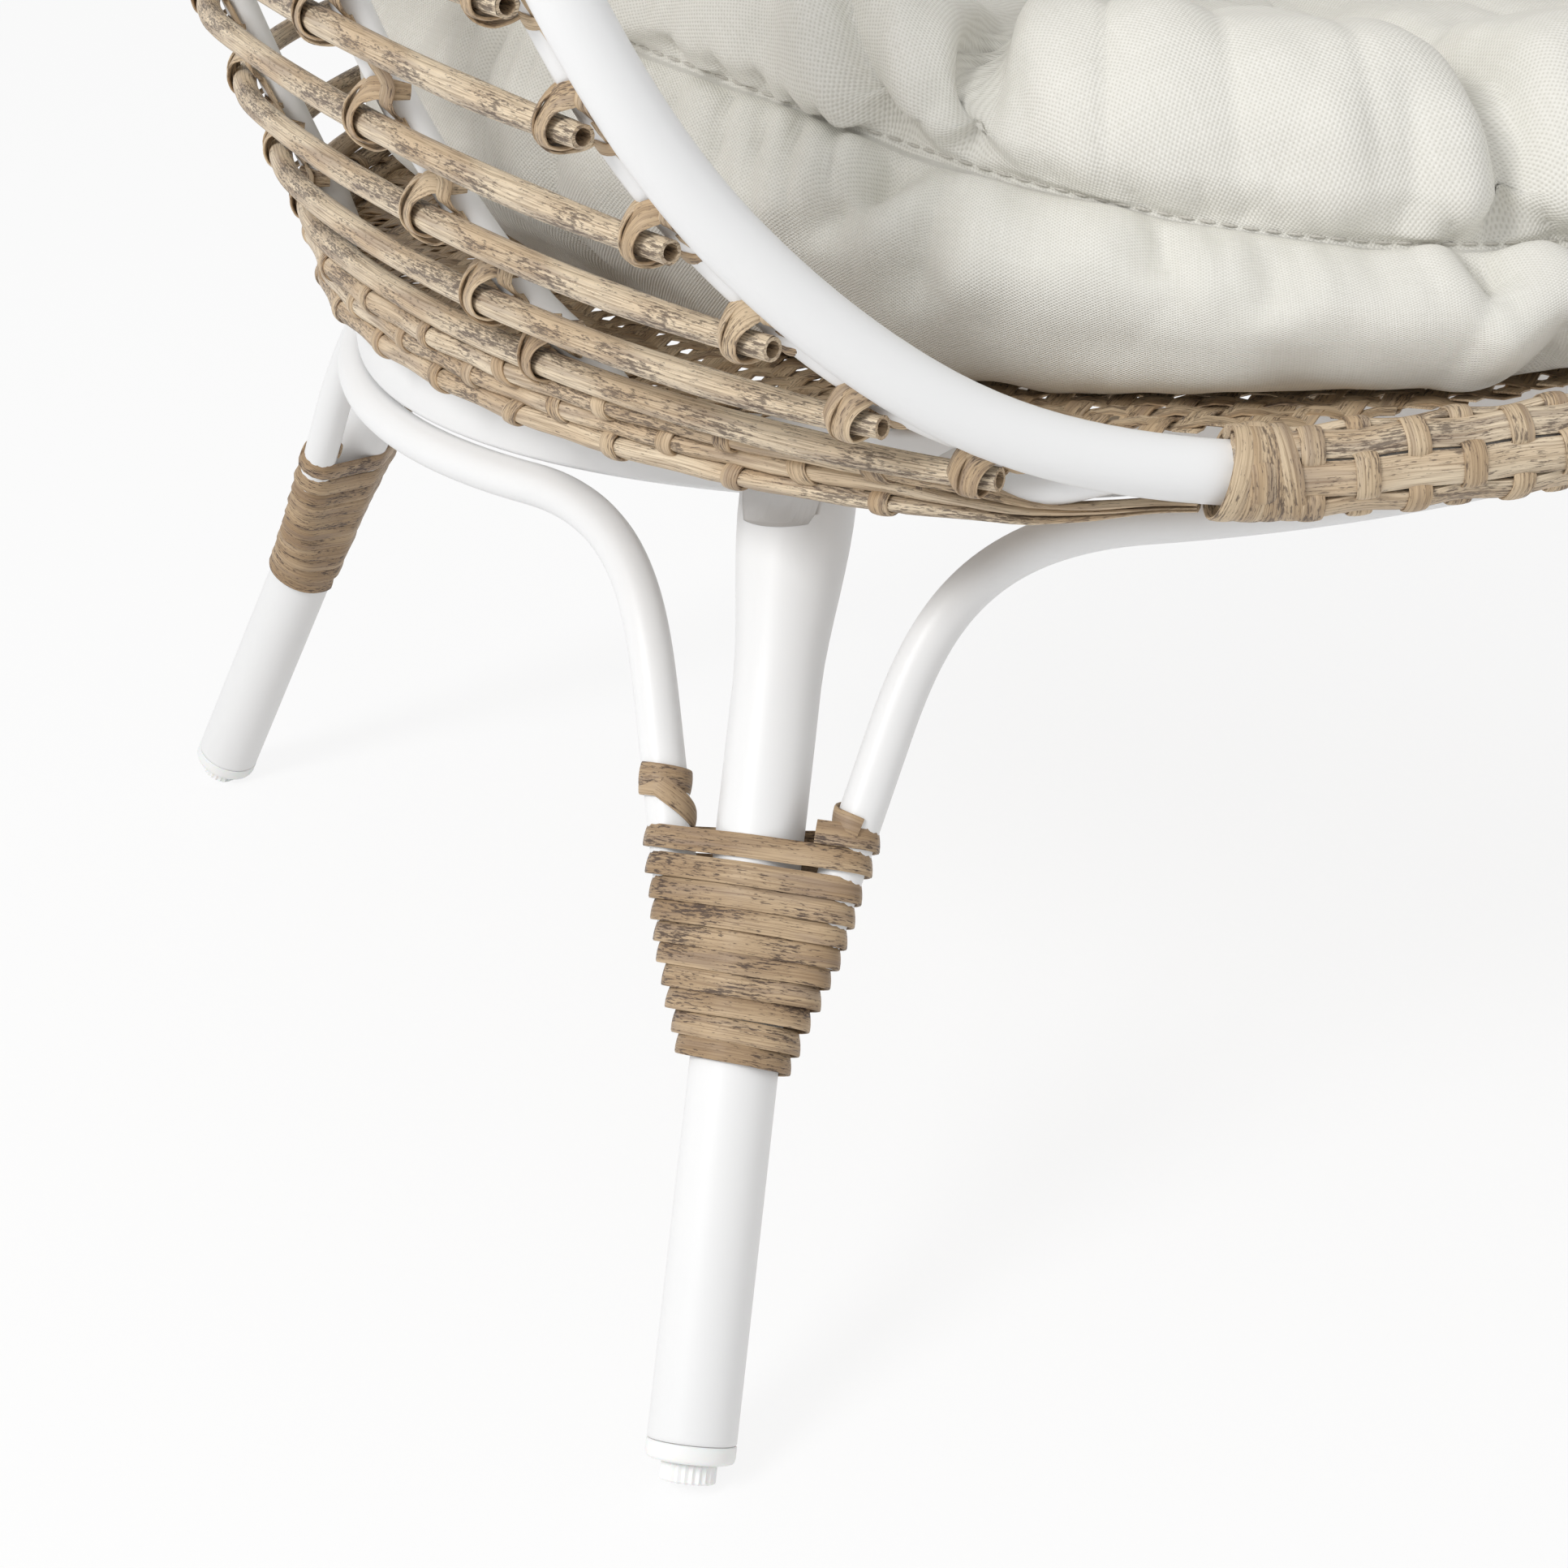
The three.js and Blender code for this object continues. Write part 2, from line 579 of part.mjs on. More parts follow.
// A rod that crosses the X axis (side 1) or the Y axis (side -1) half way along.
function archRod(side) {
  const height = RING_BOTTOM - FIT - ARCH_RADIUS;
  const leaves = 45 - LEG_SWING - side * ARCH_RING_ANGLE;
  const middle = side > 0 ? 0 : 90;
  const start = besideLeg(side * ARCH_END_OFFSET, ARCH_END_DROP);
  const bendLow = besideLeg(side * ARCH_BEND_OFFSET, ARCH_BEND_DROP);
  const bendHigh = onCircle(LEG_TOP_RADIUS, leaves, height);
  const up = bendLow.clone().sub(start).normalize();
  const round = onCircle(LEG_TOP_RADIUS, leaves - side, height).sub(bendHigh).normalize();
  const bend = new THREE.CubicBezierCurve3(bendLow, bendLow.clone().addScaledVector(up, ARCH_HANDLE),
    bendHigh.clone().addScaledVector(round, -ARCH_RING_HANDLE), bendHigh);
  const half = [start, ...bend.getPoints(6)];
  for (let step = 1; step <= 2; step += 1) {
    half.push(onCircle(LEG_TOP_RADIUS, leaves + ((middle - leaves) * step) / 3, height));
  }
  const flip = new THREE.Vector3(side > 0 ? 1 : -1, side > 0 ? -1 : 1, 1);
  const other = half.map((point) => point.clone().multiply(flip)).reverse();
  return tube([...half, onCircle(LEG_TOP_RADIUS, middle, height), ...other], ARCH_RADIUS, ARCH_SIDES);
}

// The outline that the binding follows, seen along the leg: straight runs that just touch the leg and its
// two rods, drawn in to the leg alone below the rods' ends. Returns one corner of it, out from the leg.
function bindingPoint(drop, corner, out) {
  const past = THREE.MathUtils.clamp((drop - WRAP_DRAW_IN) / (WRAP_BOTTOM - WRAP_DRAW_IN), 0, 1);
  const side = rodOffset(Math.min(drop, WRAP_DRAW_IN)) * (1 - past * WRAP_DRAW_SHARE);
  const rod = ARCH_RADIUS + (LEG_RADIUS - ARCH_RADIUS) * past * WRAP_DRAW_SHARE;
  const lean = Math.asin((LEG_RADIUS - rod) / side);
  const quarter = WRAP_STEPS / 4;
  const place = corner % (2 * quarter);
  const onLeg = place === 0 || place === 2 * quarter - 1;
  const spread = (Math.PI - 2 * lean) / (2 * quarter - 2);
  const half = onLeg ? lean / 2 : spread / 2;
  const angles = [lean / 2, ...Array.from({ length: 2 * quarter - 2 }, (_, i) => lean + spread * (i + 0.5)),
    Math.PI - lean / 2];
  const stand = ((onLeg ? LEG_RADIUS : rod) + FIT + out) / Math.cos(half);
  const turn = corner % WRAP_STEPS < 2 * quarter ? 1 : -1;
  return new THREE.Vector3(turn * stand * Math.cos(angles[place]),
    turn * ((onLeg ? 0 : side) + stand * Math.sin(angles[place])), LEG_LENGTH - drop);
}

function bindingRings() {
  const pitch = WRAP_WIDTH + WRAP_GAP;
  const turns = (WRAP_BOTTOM - WRAP_TOP - WRAP_WIDTH) / pitch;
  const rings = [];
  for (let step = 0; step <= Math.floor(turns * WRAP_STEPS); step += 1) {
    const upper = WRAP_TOP + (step * pitch) / WRAP_STEPS;
    const lower = upper + WRAP_WIDTH;
    rings.push([bindingPoint(upper, step, 0), bindingPoint(upper, step, WRAP_THICKNESS),
      bindingPoint(lower, step, WRAP_THICKNESS), bindingPoint(lower, step, 0)]);
  }
  return rings;
}

function leastBindingGap(rings) {
  let least = Infinity;
  rings.forEach((ring, i) => {
    for (let j = i + WRAP_STEPS - 1; j < Math.min(i + WRAP_STEPS + 2, rings.length); j += 1) {
      [[3, 0], [2, 1]].forEach(([low, high]) => {
        least = Math.min(least, ring[low].distanceTo(rings[j][high]));
      });
    }
  });
  return least;
}

// ---------------------------------------------------------------- rim, seat frame and upright rods

function rimTube(grow = 0) {
  const sides = RIM_SIDES;
  const radius = grow > 0 ? (RIM_RADIUS + grow) / Math.cos(Math.PI / sides) : RIM_RADIUS;
  return closed(new THREE.TubeGeometry(rimCurve, RIM_STEPS, radius, sides, true));
}

function hoopPoint(place) {
  const base = inside(0, place, baseSide.x - RING_RADIUS + HOOP_RADIUS);
  return base.setZ(HOOP_HEIGHT);
}

function hoopPath() {
  const points = [];
  for (let step = 0; step <= HOOP_STEPS; step += 1) {
    points.push(hoopPoint(HOOP_END * ((2 * step) / HOOP_STEPS - 1)));
  }
  const weld = rimAt(HOOP_WELD);
  return [mirrored(weld), ...points, weld];
}

function seatFrame() {
  const bottom = RING_TOP + RAIL_SHIFT;
  let frame = solid(tube(hoopPath(), HOOP_RADIUS, HOOP_SIDES));
  boltPlaces().filter(({ x }) => x > 0).forEach(({ y }) => {
    const corner = y + Math.sign(y) * (RAIL_SIZE / 2);
    const place = solve(y < 0 ? BACK_SHARE : 0, y < 0 ? HOOP_END : BACK_SHARE, corner, (s) => hoopPoint(s).y);
    const length = 2 * (hoopPoint(place).x - RAIL_INSET);
    frame = frame.add(solid(block([length, RAIL_SIZE, RAIL_SIZE], [0, y, bottom + RAIL_SIZE / 2])));
  });
  frame = frame.subtract(solid(rimTube(FIT)));
  boltPlaces().forEach((place) => {
    frame = frame.subtract(solid(boltHole(place, bottom - 1, RING_TOP + BOLT_DEPTH + 1)));
  });
  return fromSolid(frame);
}

const ROD_DEPTH = STRAND_RADIUS + ROD_STAND_OFF + ROD_RADIUS;

// The point on the rim's upper arc at a sideways place.
function rimTop(side) {
  const level = solve(6, TOP_LEVEL + 1, side, (value) => rimAt(value).x);
  return rimAt(level);
}

// An upright rod: from the seat hoop, under each strand that it carries, to its weld on the rim. Its
// facings point to the strands.
function uprightRod(name, place, stop, top, side) {
  const placeAt = (level) => side * (typeof place === 'function' ? place(level) : place);
  const levels = STRAND_LEVELS.filter((level) => level < stop - 0.05);
  levels.push(stop);
  const foot = hoopPoint(Math.sign(side) * Math.min(Math.abs(placeAt(0)), EDGE_FOOT));
  const weld = rimTop(top);
  const points = [foot.setZ(foot.z + ROD_FOOT_LIFT),
    ...levels.map((level) => inside(level, placeAt(level), ROD_DEPTH)),
    side < 0 ? mirrored(weld) : weld];
  const facings = levels.map((level) => shellNormal(level, placeAt(level)));
  return { name, points, facings: [facings[0], ...facings, facings.at(-1)] };
}

// Place of the edge rod: a fixed distance behind the rim along each strand.
function edgePlace(level) {
  const rim = rimAt(level);
  return solve(BACK_SHARE, 1, EDGE_GAP, (place) => shell(level, place).distanceTo(rim));
}

function uprightRods() {
  const rods = [uprightRod('back_rod_middle', ROD_PLACES[0], ROD_STOPS[0], ROD_TOPS[0], 1)];
  [['left', -1], ['right', 1]].forEach(([name, side]) => {
    ROD_PLACES.slice(1).forEach((place, i) => {
      const number = ROD_PLACES.length - 1 - i;
      rods.push(uprightRod(`upright_rod_${name}_${number}`, place, ROD_STOPS[i + 1], ROD_TOPS[i + 1], side));
    });
    rods.push(uprightRod(`edge_rod_${name}`, edgePlace, EDGE_STOP, EDGE_TOP, side));
  });
  return rods;
}

// ---------------------------------------------------------------- strands

function strand(level) {
  const end = solve(BACK_SHARE, 1, STRAND_END + STRAND_RADIUS * 0.5, (place) => rimDistance(shell(level, place)));
  const stations = [...ROD_PLACES, edgePlace(level)];
  const half = [];
  stations.slice(1).forEach((place, i) => {
    for (let step = 1; step <= STRAND_STEPS[i]; step += 1) {
      half.push(stations[i] + ((place - stations[i]) * step) / STRAND_STEPS[i]);
    }
  });
  half.push(end);
  const places = [...half.map((place) => -place).reverse(), 0, ...half];
  return bar(places.map((place) => shell(level, place)), places.map((place) => shellNormal(level, place)),
    STRAND_RADIUS, STRAND_SIDES);
}

// ---------------------------------------------------------------- woven base: band, front lip and tray

// Offsets of a fluted face of woven rows, from the bottom to the top.
function fluted(rows) {
  const points = [];
  for (let row = 0; row < rows; row += 1) {
    points.push([(row + 0.08) / rows, -1], [(row + 0.5) / rows, 0], [(row + 0.92) / rows, -1]);
  }
  return points;
}

function baseBand() {
  const rings = [];
  for (let step = 0; step <= BAND_STEPS; step += 1) {
    const place = BAND_END * ((2 * step) / BAND_STEPS - 1);
    const foot = shell(0, place);
    const out = shellNormal(0, place).setZ(0).normalize();
    const fall = Math.max((Math.abs(place) - RISE_START) / (1 - RISE_START), 0) ** RISE_POWER;
    const bottom = RING_TOP + BAND_BOTTOM;
    const top = RING_TOP + BAND_TOP + (BAND_FRONT_TOP - BAND_TOP) * fall;
    const at = (share, depth) => {
      const height = bottom + (top - bottom) * share;
      const lean = Math.max(height - foot.z, 0) * BAND_LEAN;
      return foot.clone().addScaledVector(out, BAND_OUT + lean + depth).setZ(height);
    };
    const face = fluted(BAND_ROWS).map(([share, dip]) => at(share, BAND_THICKNESS / 2 + dip * BAND_FLUTE));
    rings.push([...face, at(1, BAND_THICKNESS / 2 - 3), at(1, -BAND_THICKNESS / 2),
      at(0, -BAND_THICKNESS / 2), at(0, BAND_THICKNESS / 2 - 3)]);
  }
  return loft(rings);
}

// The sleeve is swept along the rim's front, with a bore for the rim tube.
function frontLip() {
  const reach = solve(-LIP.length, 0, LIP_HALF, (level) => rimAt(level).x);
  const points = [];
  for (let step = -LIP_STEPS / 2; step <= LIP_STEPS / 2; step += 1) {
    const share = (2 * Math.abs(step)) / LIP_STEPS;
    const point = rimAt(-LIP.length + (reach + LIP.length) * share);
    points.push(step < 0 ? mirrored(point) : point);
  }
  const outer = fluted(BAND_ROWS).map(([share, dip]) => [Math.PI * (0.5 - share), LIP_RADIUS + dip * BAND_FLUTE]);
  for (let side = 1; side <= LIP_BACK_SIDES; side += 1) {
    outer.push([-Math.PI * (0.5 + side / (LIP_BACK_SIDES + 1)), LIP_RADIUS - BAND_FLUTE / 2]);
  }
  const rings = points.map((point, i) => {
    const travel = points[Math.min(i + 1, points.length - 1)].clone().sub(points[Math.max(i - 1, 0)]).normalize();
    const sideways = travel.clone().cross(new THREE.Vector3(0, 0, 1)).normalize();
    const up = new THREE.Vector3().crossVectors(sideways, travel);
    return outer.map(([angle, radius]) => point.clone().addScaledVector(up, radius * Math.sin(angle))
      .addScaledVector(sideways, radius * Math.cos(angle)));
  });
  return cut(loft(rings), rimTube(FIT));
}

function wovenTray(rods) {
  const points = [];
  const power = (value, exponent) => Math.sign(value) * Math.abs(value) ** exponent;
  const side = RING_RADIUS - TRAY_INSET;
  const front = -rimFront.y - TRAY_FRONT_INSET;
  for (let i = 0; i < TRAY_POINTS; i += 1) {
    const angle = (2 * Math.PI * i) / TRAY_POINTS;
    const ahead = Math.sin(angle) < 0;
    const bend = ahead ? 2 / TRAY_POWER : 1;
    points.push(new THREE.Vector2(side * power(Math.cos(angle), bend),
      (ahead ? front : side) * power(Math.sin(angle), bend)));
  }
  const plate = new THREE.ExtrudeGeometry(new THREE.Shape(points), { depth: TRAY_THICKNESS, bevelEnabled: false });
  plate.translate(0, 0, RING_TOP + RAIL_SHIFT + RAIL_SIZE + FIT);
  const grown = (ROD_RADIUS + FIT) / Math.cos(Math.PI / ROD_SIDES);
  return cut(plate, rimTube(FIT),
    ...rods.map((rod) => bar(rod.points.slice(0, 3), rod.facings.slice(0, 3), grown, ROD_SIDES)));
}

// ---------------------------------------------------------------- cushions

const SEAT_BOTTOM = RING_TOP + RAIL_SHIFT + RAIL_SIZE + FIT + TRAY_THICKNESS + FIT;
const BACK_DEPTH = ROD_DEPTH + ROD_RADIUS + SOFT_GAP;

// Angles round a cushion with a given number of lobes, one of them on a fold.
function lobeAngles(lobes, fold) {
  const count = lobes * LOBE_STEPS;
  return Array.from({ length: count }, (_, i) => radians(fold) + (2 * Math.PI * i) / count);
}

// 1 in the fold between two lobes and 0 on their crowns.
function foldShare(angle, lobes, fold) {
  return Math.abs(Math.cos((lobes * (angle - radians(fold))) / 2)) ** FOLD_POWER;
}

// Half width of the seat cushion's outline at a height, in a direction.
function seatReach(angle, height) {
  const spread = SEAT_SPREAD * smooth((height - SEAT_BOTTOM) / SEAT_SPREAD_RISE) * Math.cos(angle) ** 4;
  const side = RING_RADIUS - SEAT_INSET + spread;
  const front = SEAT_CENTRE_Y - rimFront.y - SEAT_FRONT_INSET;
  const depth = Math.sin(angle) < 0 ? front : baseSide.y - SEAT_BACK_INSET - SEAT_CENTRE_Y;
  return 1 / Math.hypot(Math.cos(angle) / side, Math.sin(angle) / depth);
}

// One ring of the seat cushion. Its share of the outline, its share of the height below the seam, its
// share of the lobes' puff above it, and the depth of the folds there.
function seatRing([share, below, above, depth]) {
  return lobeAngles(SEAT_LOBES, SEAT_FOLD_ANGLE).map((angle) => {
    const behind = Math.acos(-Math.sin(angle));
    const seam = SEAM_FRONT + SEAM_RISE * (1 - Math.exp(-SEAM_CLIMB * behind ** 2 / SEAM_RISE));
    const puff = PUFF_FRONT + (PUFF_SIDE - PUFF_FRONT) * smooth(behind / QUARTER);
    const fold = depth * foldShare(angle, SEAT_LOBES, SEAT_FOLD_ANGLE);
    const edge = below * seam + above * puff;
    const dish = above > 0 ? 1 - Math.min(share / 0.8, 1) ** 2 : 0;
    const height = SEAT_BOTTOM + edge + (SEAT_DISH - edge) * dish - fold;
    const reach = share * seatReach(angle, height) - fold * above * 0.3;
    return new THREE.Vector3(reach * Math.cos(angle), SEAT_CENTRE_Y + reach * Math.sin(angle), height);
  });
}

function seatCushion() {
  return loft([
    [0.45, 0, 0, 0],
    [0.93, 0, 0, 0],
    [0.985, 0.06, 0, 0],
    [1.03, 0.42, 0, 0],
    [1.02, 0.78, 0, 0],
    [0.955, 1, 0, 0],
    [0.975, 1, 0.3, 5],
    [0.945, 1, 0.75, 14],
    [0.87, 1, 1, 21],
    [0.78, 1, 0.96, 19],
    [0.7, 1, 0.8, 9],
    [0.55, 1, 0.9, 10],
    [0.35, 1, 0.9, 8],
    [0.12, 1, 0.8, 4],
  ].map(seatRing));
}

// One ring of the back cushion, laid out on the shell: its share of the outline, its depth as a share of
// the thickness, and the depth of the folds there.
function backRing([share, depth, folds]) {
  const middle = (BACK_LOW + BACK_HIGH) / 2;
  const halfHeight = (BACK_HIGH - BACK_LOW) / 2;
  return lobeAngles(BACK_LOBES, BACK_FOLD_ANGLE).map((angle) => {
    const level = middle + share * halfHeight * Math.sin(angle);
    const place = share * BACK_REACH * Math.cos(angle);
    const fold = folds * foldShare(angle, BACK_LOBES, BACK_FOLD_ANGLE);
    return inside(level, place, BACK_DEPTH + depth * BACK_THICKNESS - fold);
  });
}

function backCushion() {
  return loft([
    [0.3, 0, 0],
    [0.7, 0, 0],
    [0.92, 0.04, 0],
    [1, 0.24, 0],
    [0.99, 0.42, 0],
    [0.93, 0.52, 0],
    [0.95, 0.66, 5],
    [0.91, 0.88, 14],
    [0.82, 1, 21],
    [0.7, 0.96, 18],
    [0.6, 0.84, 9],
    [0.45, 0.9, 10],
    [0.27, 0.88, 8],
    [0.1, 0.76, 4],
  ].map(backRing));
}

// ---------------------------------------------------------------- assembly

function legGroup({ name, across, along }, parts) {
  const placed = new THREE.Group();
  placed.rotation.z = Math.atan2(along * Math.sin(LEG_HEADING), across * Math.cos(LEG_HEADING));
  placed.position.set(across * LEG_FOOT.x, along * LEG_FOOT.y, FOOT_LIFT);
  const leaning = new THREE.Group();
  leaning.rotation.y = -LEG_LEAN;
  parts.forEach(([part, geometry, finish]) => leaning.add(mesh(`${part}_${name}`, geometry, finish)));
  placed.add(leaning);
  return placed;
}

function buildChair() {
  const chair = new THREE.Group();
  chair.add(mesh('leg_ring', legRing(), WHITE));

  const wrapRings = bindingRings();
  console.log(`leg binding: least gap between turns ${leastBindingGap(wrapRings).toFixed(2)} mm`);
  const legParts = [
    ['leg', legTube(), WHITE],
    ['leg_cap', legCap(), PLASTIC],
    ['levelling_foot', levellingFoot(), PLASTIC],
    ['leg_binding', loft(wrapRings), RATTAN],
  ];
  LEGS.forEach((leg) => chair.add(legGroup(leg, legParts)));

  const arches = [['right', 1, 0], ['left', 1, Math.PI], ['back', -1, 0], ['front', -1, Math.PI]];
  arches.forEach(([name, side, turn]) => {
    const rod = mesh(`arch_rod_${name}`, archRod(side), WHITE);
    rod.rotation.z = turn;
    chair.add(rod);
  });

  const bolt = ringBolt();
  boltPlaces().forEach(({ name, x, y }) => {
    const piece = mesh(`ring_bolt_${name}`, bolt, STEEL);
    piece.position.set(x, y, 0);
    chair.add(piece);
  });

  const rods = uprightRods();
  const grownRim = rimTube(FIT);
  const hoopTool = tube(hoopPath(), (HOOP_RADIUS + FIT) / Math.cos(Math.PI / HOOP_SIDES), HOOP_SIDES);
  chair.add(mesh('rim_tube', rimTube(), WHITE));
  chair.add(mesh('seat_frame', seatFrame(), WHITE));
  rods.forEach(({ name, points, facings }) => {
    chair.add(mesh(name, cut(bar(points, facings, ROD_RADIUS, ROD_SIDES), grownRim, hoopTool), WHITE));
  });

  STRAND_LEVELS.forEach((level, i) => {
    const name = `strand_${String(i + 1).padStart(2, '0')}`;
    chair.add(mesh(name, strand(level), RATTAN));
  });
  chair.add(mesh('base_band', baseBand(), RATTAN));
  chair.add(mesh('front_lip', frontLip(), RATTAN));
  chair.add(mesh('woven_tray', wovenTray(rods), RATTAN));
  chair.add(mesh('seat_cushion', seatCushion(), CANVAS));
  chair.add(mesh('back_cushion', backCushion(), CANVAS));

  chair.updateMatrixWorld(true);
  const outline = new THREE.Box3().setFromObject(chair, true);
  chair.position.y = -(outline.min.y + outline.max.y) / 2;
  return chair;
}

export default buildChair();
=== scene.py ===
"""Looks of a standing egg chair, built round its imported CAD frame.

Lengths inside the builders are millimetres about the leg ring's centre, as the part is laid out;
Body.build turns them into metres in the shared frame.
"""
import logging
import math
from collections.abc import Callable
from dataclasses import dataclass, field
from enum import Enum

import bpy
import numpy as np
from mathutils import Matrix, Vector


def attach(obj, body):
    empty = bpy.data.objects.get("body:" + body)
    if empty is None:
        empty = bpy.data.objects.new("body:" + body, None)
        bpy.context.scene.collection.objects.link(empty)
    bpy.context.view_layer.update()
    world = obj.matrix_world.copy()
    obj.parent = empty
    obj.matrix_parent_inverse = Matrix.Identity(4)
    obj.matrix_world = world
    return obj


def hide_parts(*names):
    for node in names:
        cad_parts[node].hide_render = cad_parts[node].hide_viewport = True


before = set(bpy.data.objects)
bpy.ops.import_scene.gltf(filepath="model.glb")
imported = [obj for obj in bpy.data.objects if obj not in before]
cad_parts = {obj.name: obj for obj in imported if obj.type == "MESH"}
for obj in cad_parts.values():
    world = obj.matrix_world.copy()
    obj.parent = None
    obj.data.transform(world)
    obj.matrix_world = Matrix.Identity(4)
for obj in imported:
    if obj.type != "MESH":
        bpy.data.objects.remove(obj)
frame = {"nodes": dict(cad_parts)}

logging.basicConfig(level=logging.INFO, format="%(name)s: %(message)s")
log = logging.getLogger("egg_chair")

MM = 0.001
FRAME_SHIFT = np.array([0.0, 36.85, 0.0])
UP = np.array([0.0, 0.0, 1.0])
CHAIR = "chair"

Array = np.ndarray
Numbers = float | list | Array
Colour = tuple[float, float, float, float]
Socket = bpy.types.NodeSocket
Tree = bpy.types.NodeTree


class Slot(Enum):
    """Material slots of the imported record."""

    WHITE = "white_frame"
    RATTAN = "rattan"
    CANVAS = "canvas"
    PLASTIC = "white_plastic"
    STEEL = "bolt_steel"


# ---- curves and the shell's surface


class Spline:
    """A centripetal Catmull-Rom curve through given points."""

    FINE_STEPS = 1200

    def __init__(self, points: Numbers, closed: bool = False) -> None:
        """Keeps the points; a closed curve joins its own start."""
        self.points = np.array(points, float)
        self.closed = closed

    def _point(self, index: Array) -> Array:
        """Points by index, carried straight on past an open curve's ends."""
        last = len(self.points) - 1
        if self.closed:
            return self.points[index % (last + 1)]
        found = self.points[np.clip(index, 0, last)]
        found = np.where((index < 0)[:, None], 2 * self.points[0] - self.points[1], found)
        return np.where((index > last)[:, None], 2 * self.points[-1] - self.points[-2], found)

    def at(self, share: Numbers) -> Array:
        """Points at shares of the curve's spans, from 0 to 1.

        Args:
            share: one number or an array of them.
        Returns:
            An array of points, one row each.
        """
        count = len(self.points)
        place = np.atleast_1d(np.asarray(share, float)) * (count if self.closed else count - 1)
        low = np.floor(place).astype(int)
        if not self.closed:
            low = np.clip(low, 0, count - 2)
        w = (place - low)[:, None]
        p0, p1, p2, p3 = (self._point(low + k) for k in (-1, 0, 1, 2))
        d0, d1, d2 = (np.sqrt(np.linalg.norm(b - a, axis=1, keepdims=True)) + 1e-9
                      for a, b in ((p0, p1), (p1, p2), (p2, p3)))
        t1 = ((p1 - p0) / d0 - (p2 - p0) / (d0 + d1) + (p2 - p1) / d1) * d1
        t2 = ((p2 - p1) / d1 - (p3 - p1) / (d1 + d2) + (p3 - p2) / d2) * d1
        return p1 + t1 * w + (3 * (p2 - p1) - 2 * t1 - t2) * w**2 + (2 * (p1 - p2) + t1 + t2) * w**3

    def spaced(self, count: int, low: float = 0.0, high: float = 1.0) -> Array:
        """Points at even distances along the curve between two shares.

        Args:
            count: how many points.
            low: share at which they start.
            high: share at which they end.
        Returns:
            An array of points, one row each.
        """
        fine = self.at(np.linspace(low, high, self.FINE_STEPS))
        walked = travelled(fine)
        return between(np.linspace(0, walked[-1], count), walked, fine)


def travelled(path: Array) -> Array:
    """Distance walked along a path at each of its points."""
    return np.concatenate([[0], np.cumsum(np.linalg.norm(np.diff(path, axis=0), axis=1))])


def between(places: Array, walked: Array, values: Array) -> Array:
    """Rows of three values that stand at walked distances, taken at other places."""
    return np.stack([np.interp(places, walked, values[:, k]) for k in range(3)], axis=1)


def smooth(value: Numbers) -> Numbers:
    """A smooth step of a value clipped to 0..1."""
    value = np.clip(value, 0, 1)
    return value * value * (3 - 2 * value)


def bell(value: Numbers, width: Numbers) -> Numbers:
    """A bell curve of a value: 1 at 0, and all but gone two widths away."""
    return np.exp(-(value / width) ** 2)


def unit(vectors: Array) -> Array:
    """Vectors scaled to length 1 along the last axis."""
    return vectors / np.maximum(np.linalg.norm(vectors, axis=-1, keepdims=True), 1e-12)


def solve(low: Numbers, high: Numbers, target: float, measure: Callable[[Array], Array],
          steps: int = 36) -> Array:
    """Finds by halving where a function of an array passes a target.

    Args:
        low: lower bounds.
        high: upper bounds.
        target: the value to pass.
        measure: the function, which rises or falls all the way.
        steps: how many times the span is halved.
    Returns:
        The places found, one for each bound.
    """
    low, high = np.array(low, float), np.array(high, float)
    rising = measure(high) > measure(low)
    for _ in range(steps):
        middle = (low + high) / 2
        below = (measure(middle) < target) == rising
        low, high = np.where(below, middle, low), np.where(below, high, middle)
    return (low + high) / 2


@dataclass(frozen=True)
class ShellPlan:
    """Driving dimensions of the shell, as the part has them."""

    # The rim's points on its right side, one for each level from 0 to 10, then the half width of the
    # shell and the place (y, z) of its back at the same levels.
    rim: tuple = ((185, -441, 381), (262, -420, 411), (335, -400, 482), (380, -387, 571),
                  (409, -364, 700), (418, -338, 840), (402, -308, 1000), (357, -280, 1140),
                  (278, -256, 1265), (177, -239, 1360), (72, -228, 1420))
    half: tuple = (365, 377, 399, 417, 434, 438, 423, 376, 295, 190, 77)
    back: tuple = ((364, 383), (375, 420), (390, 498), (403, 586), (412, 715), (413, 862),
                   (397, 1022), (351, 1162), (252, 1285), (95, 1381), (-222, 1428))
    lip: tuple = ((0, -479, 375), (100, -467, 376))
    crown: tuple = (0, -226, 1432)
    widest: float = 0.55
    back_share: float = 0.54
    stand_off: float = 13.5
    rise_start: float = 0.45
    rise_power: float = 1.5
    rod_depth: float = 13.4
    rod_places: tuple = (0.0, 0.235, 0.47, 0.755)
    rod_stops: tuple = (9.45, 9.35, 9.1, 8.75)
    rod_tops: tuple = (0.0, 40.0, 86.0, 134.0)
    edge_gap: float = 27.0
    edge_foot: float = 0.9
    edge_stop: float = 8.6
    edge_top: float = 190.0
    strand_end: float = 18.75
    strand_first: float = 395.0
    pitch_low: float = 47.0
    pitch_high: float = 54.0
    low_rows: int = 6


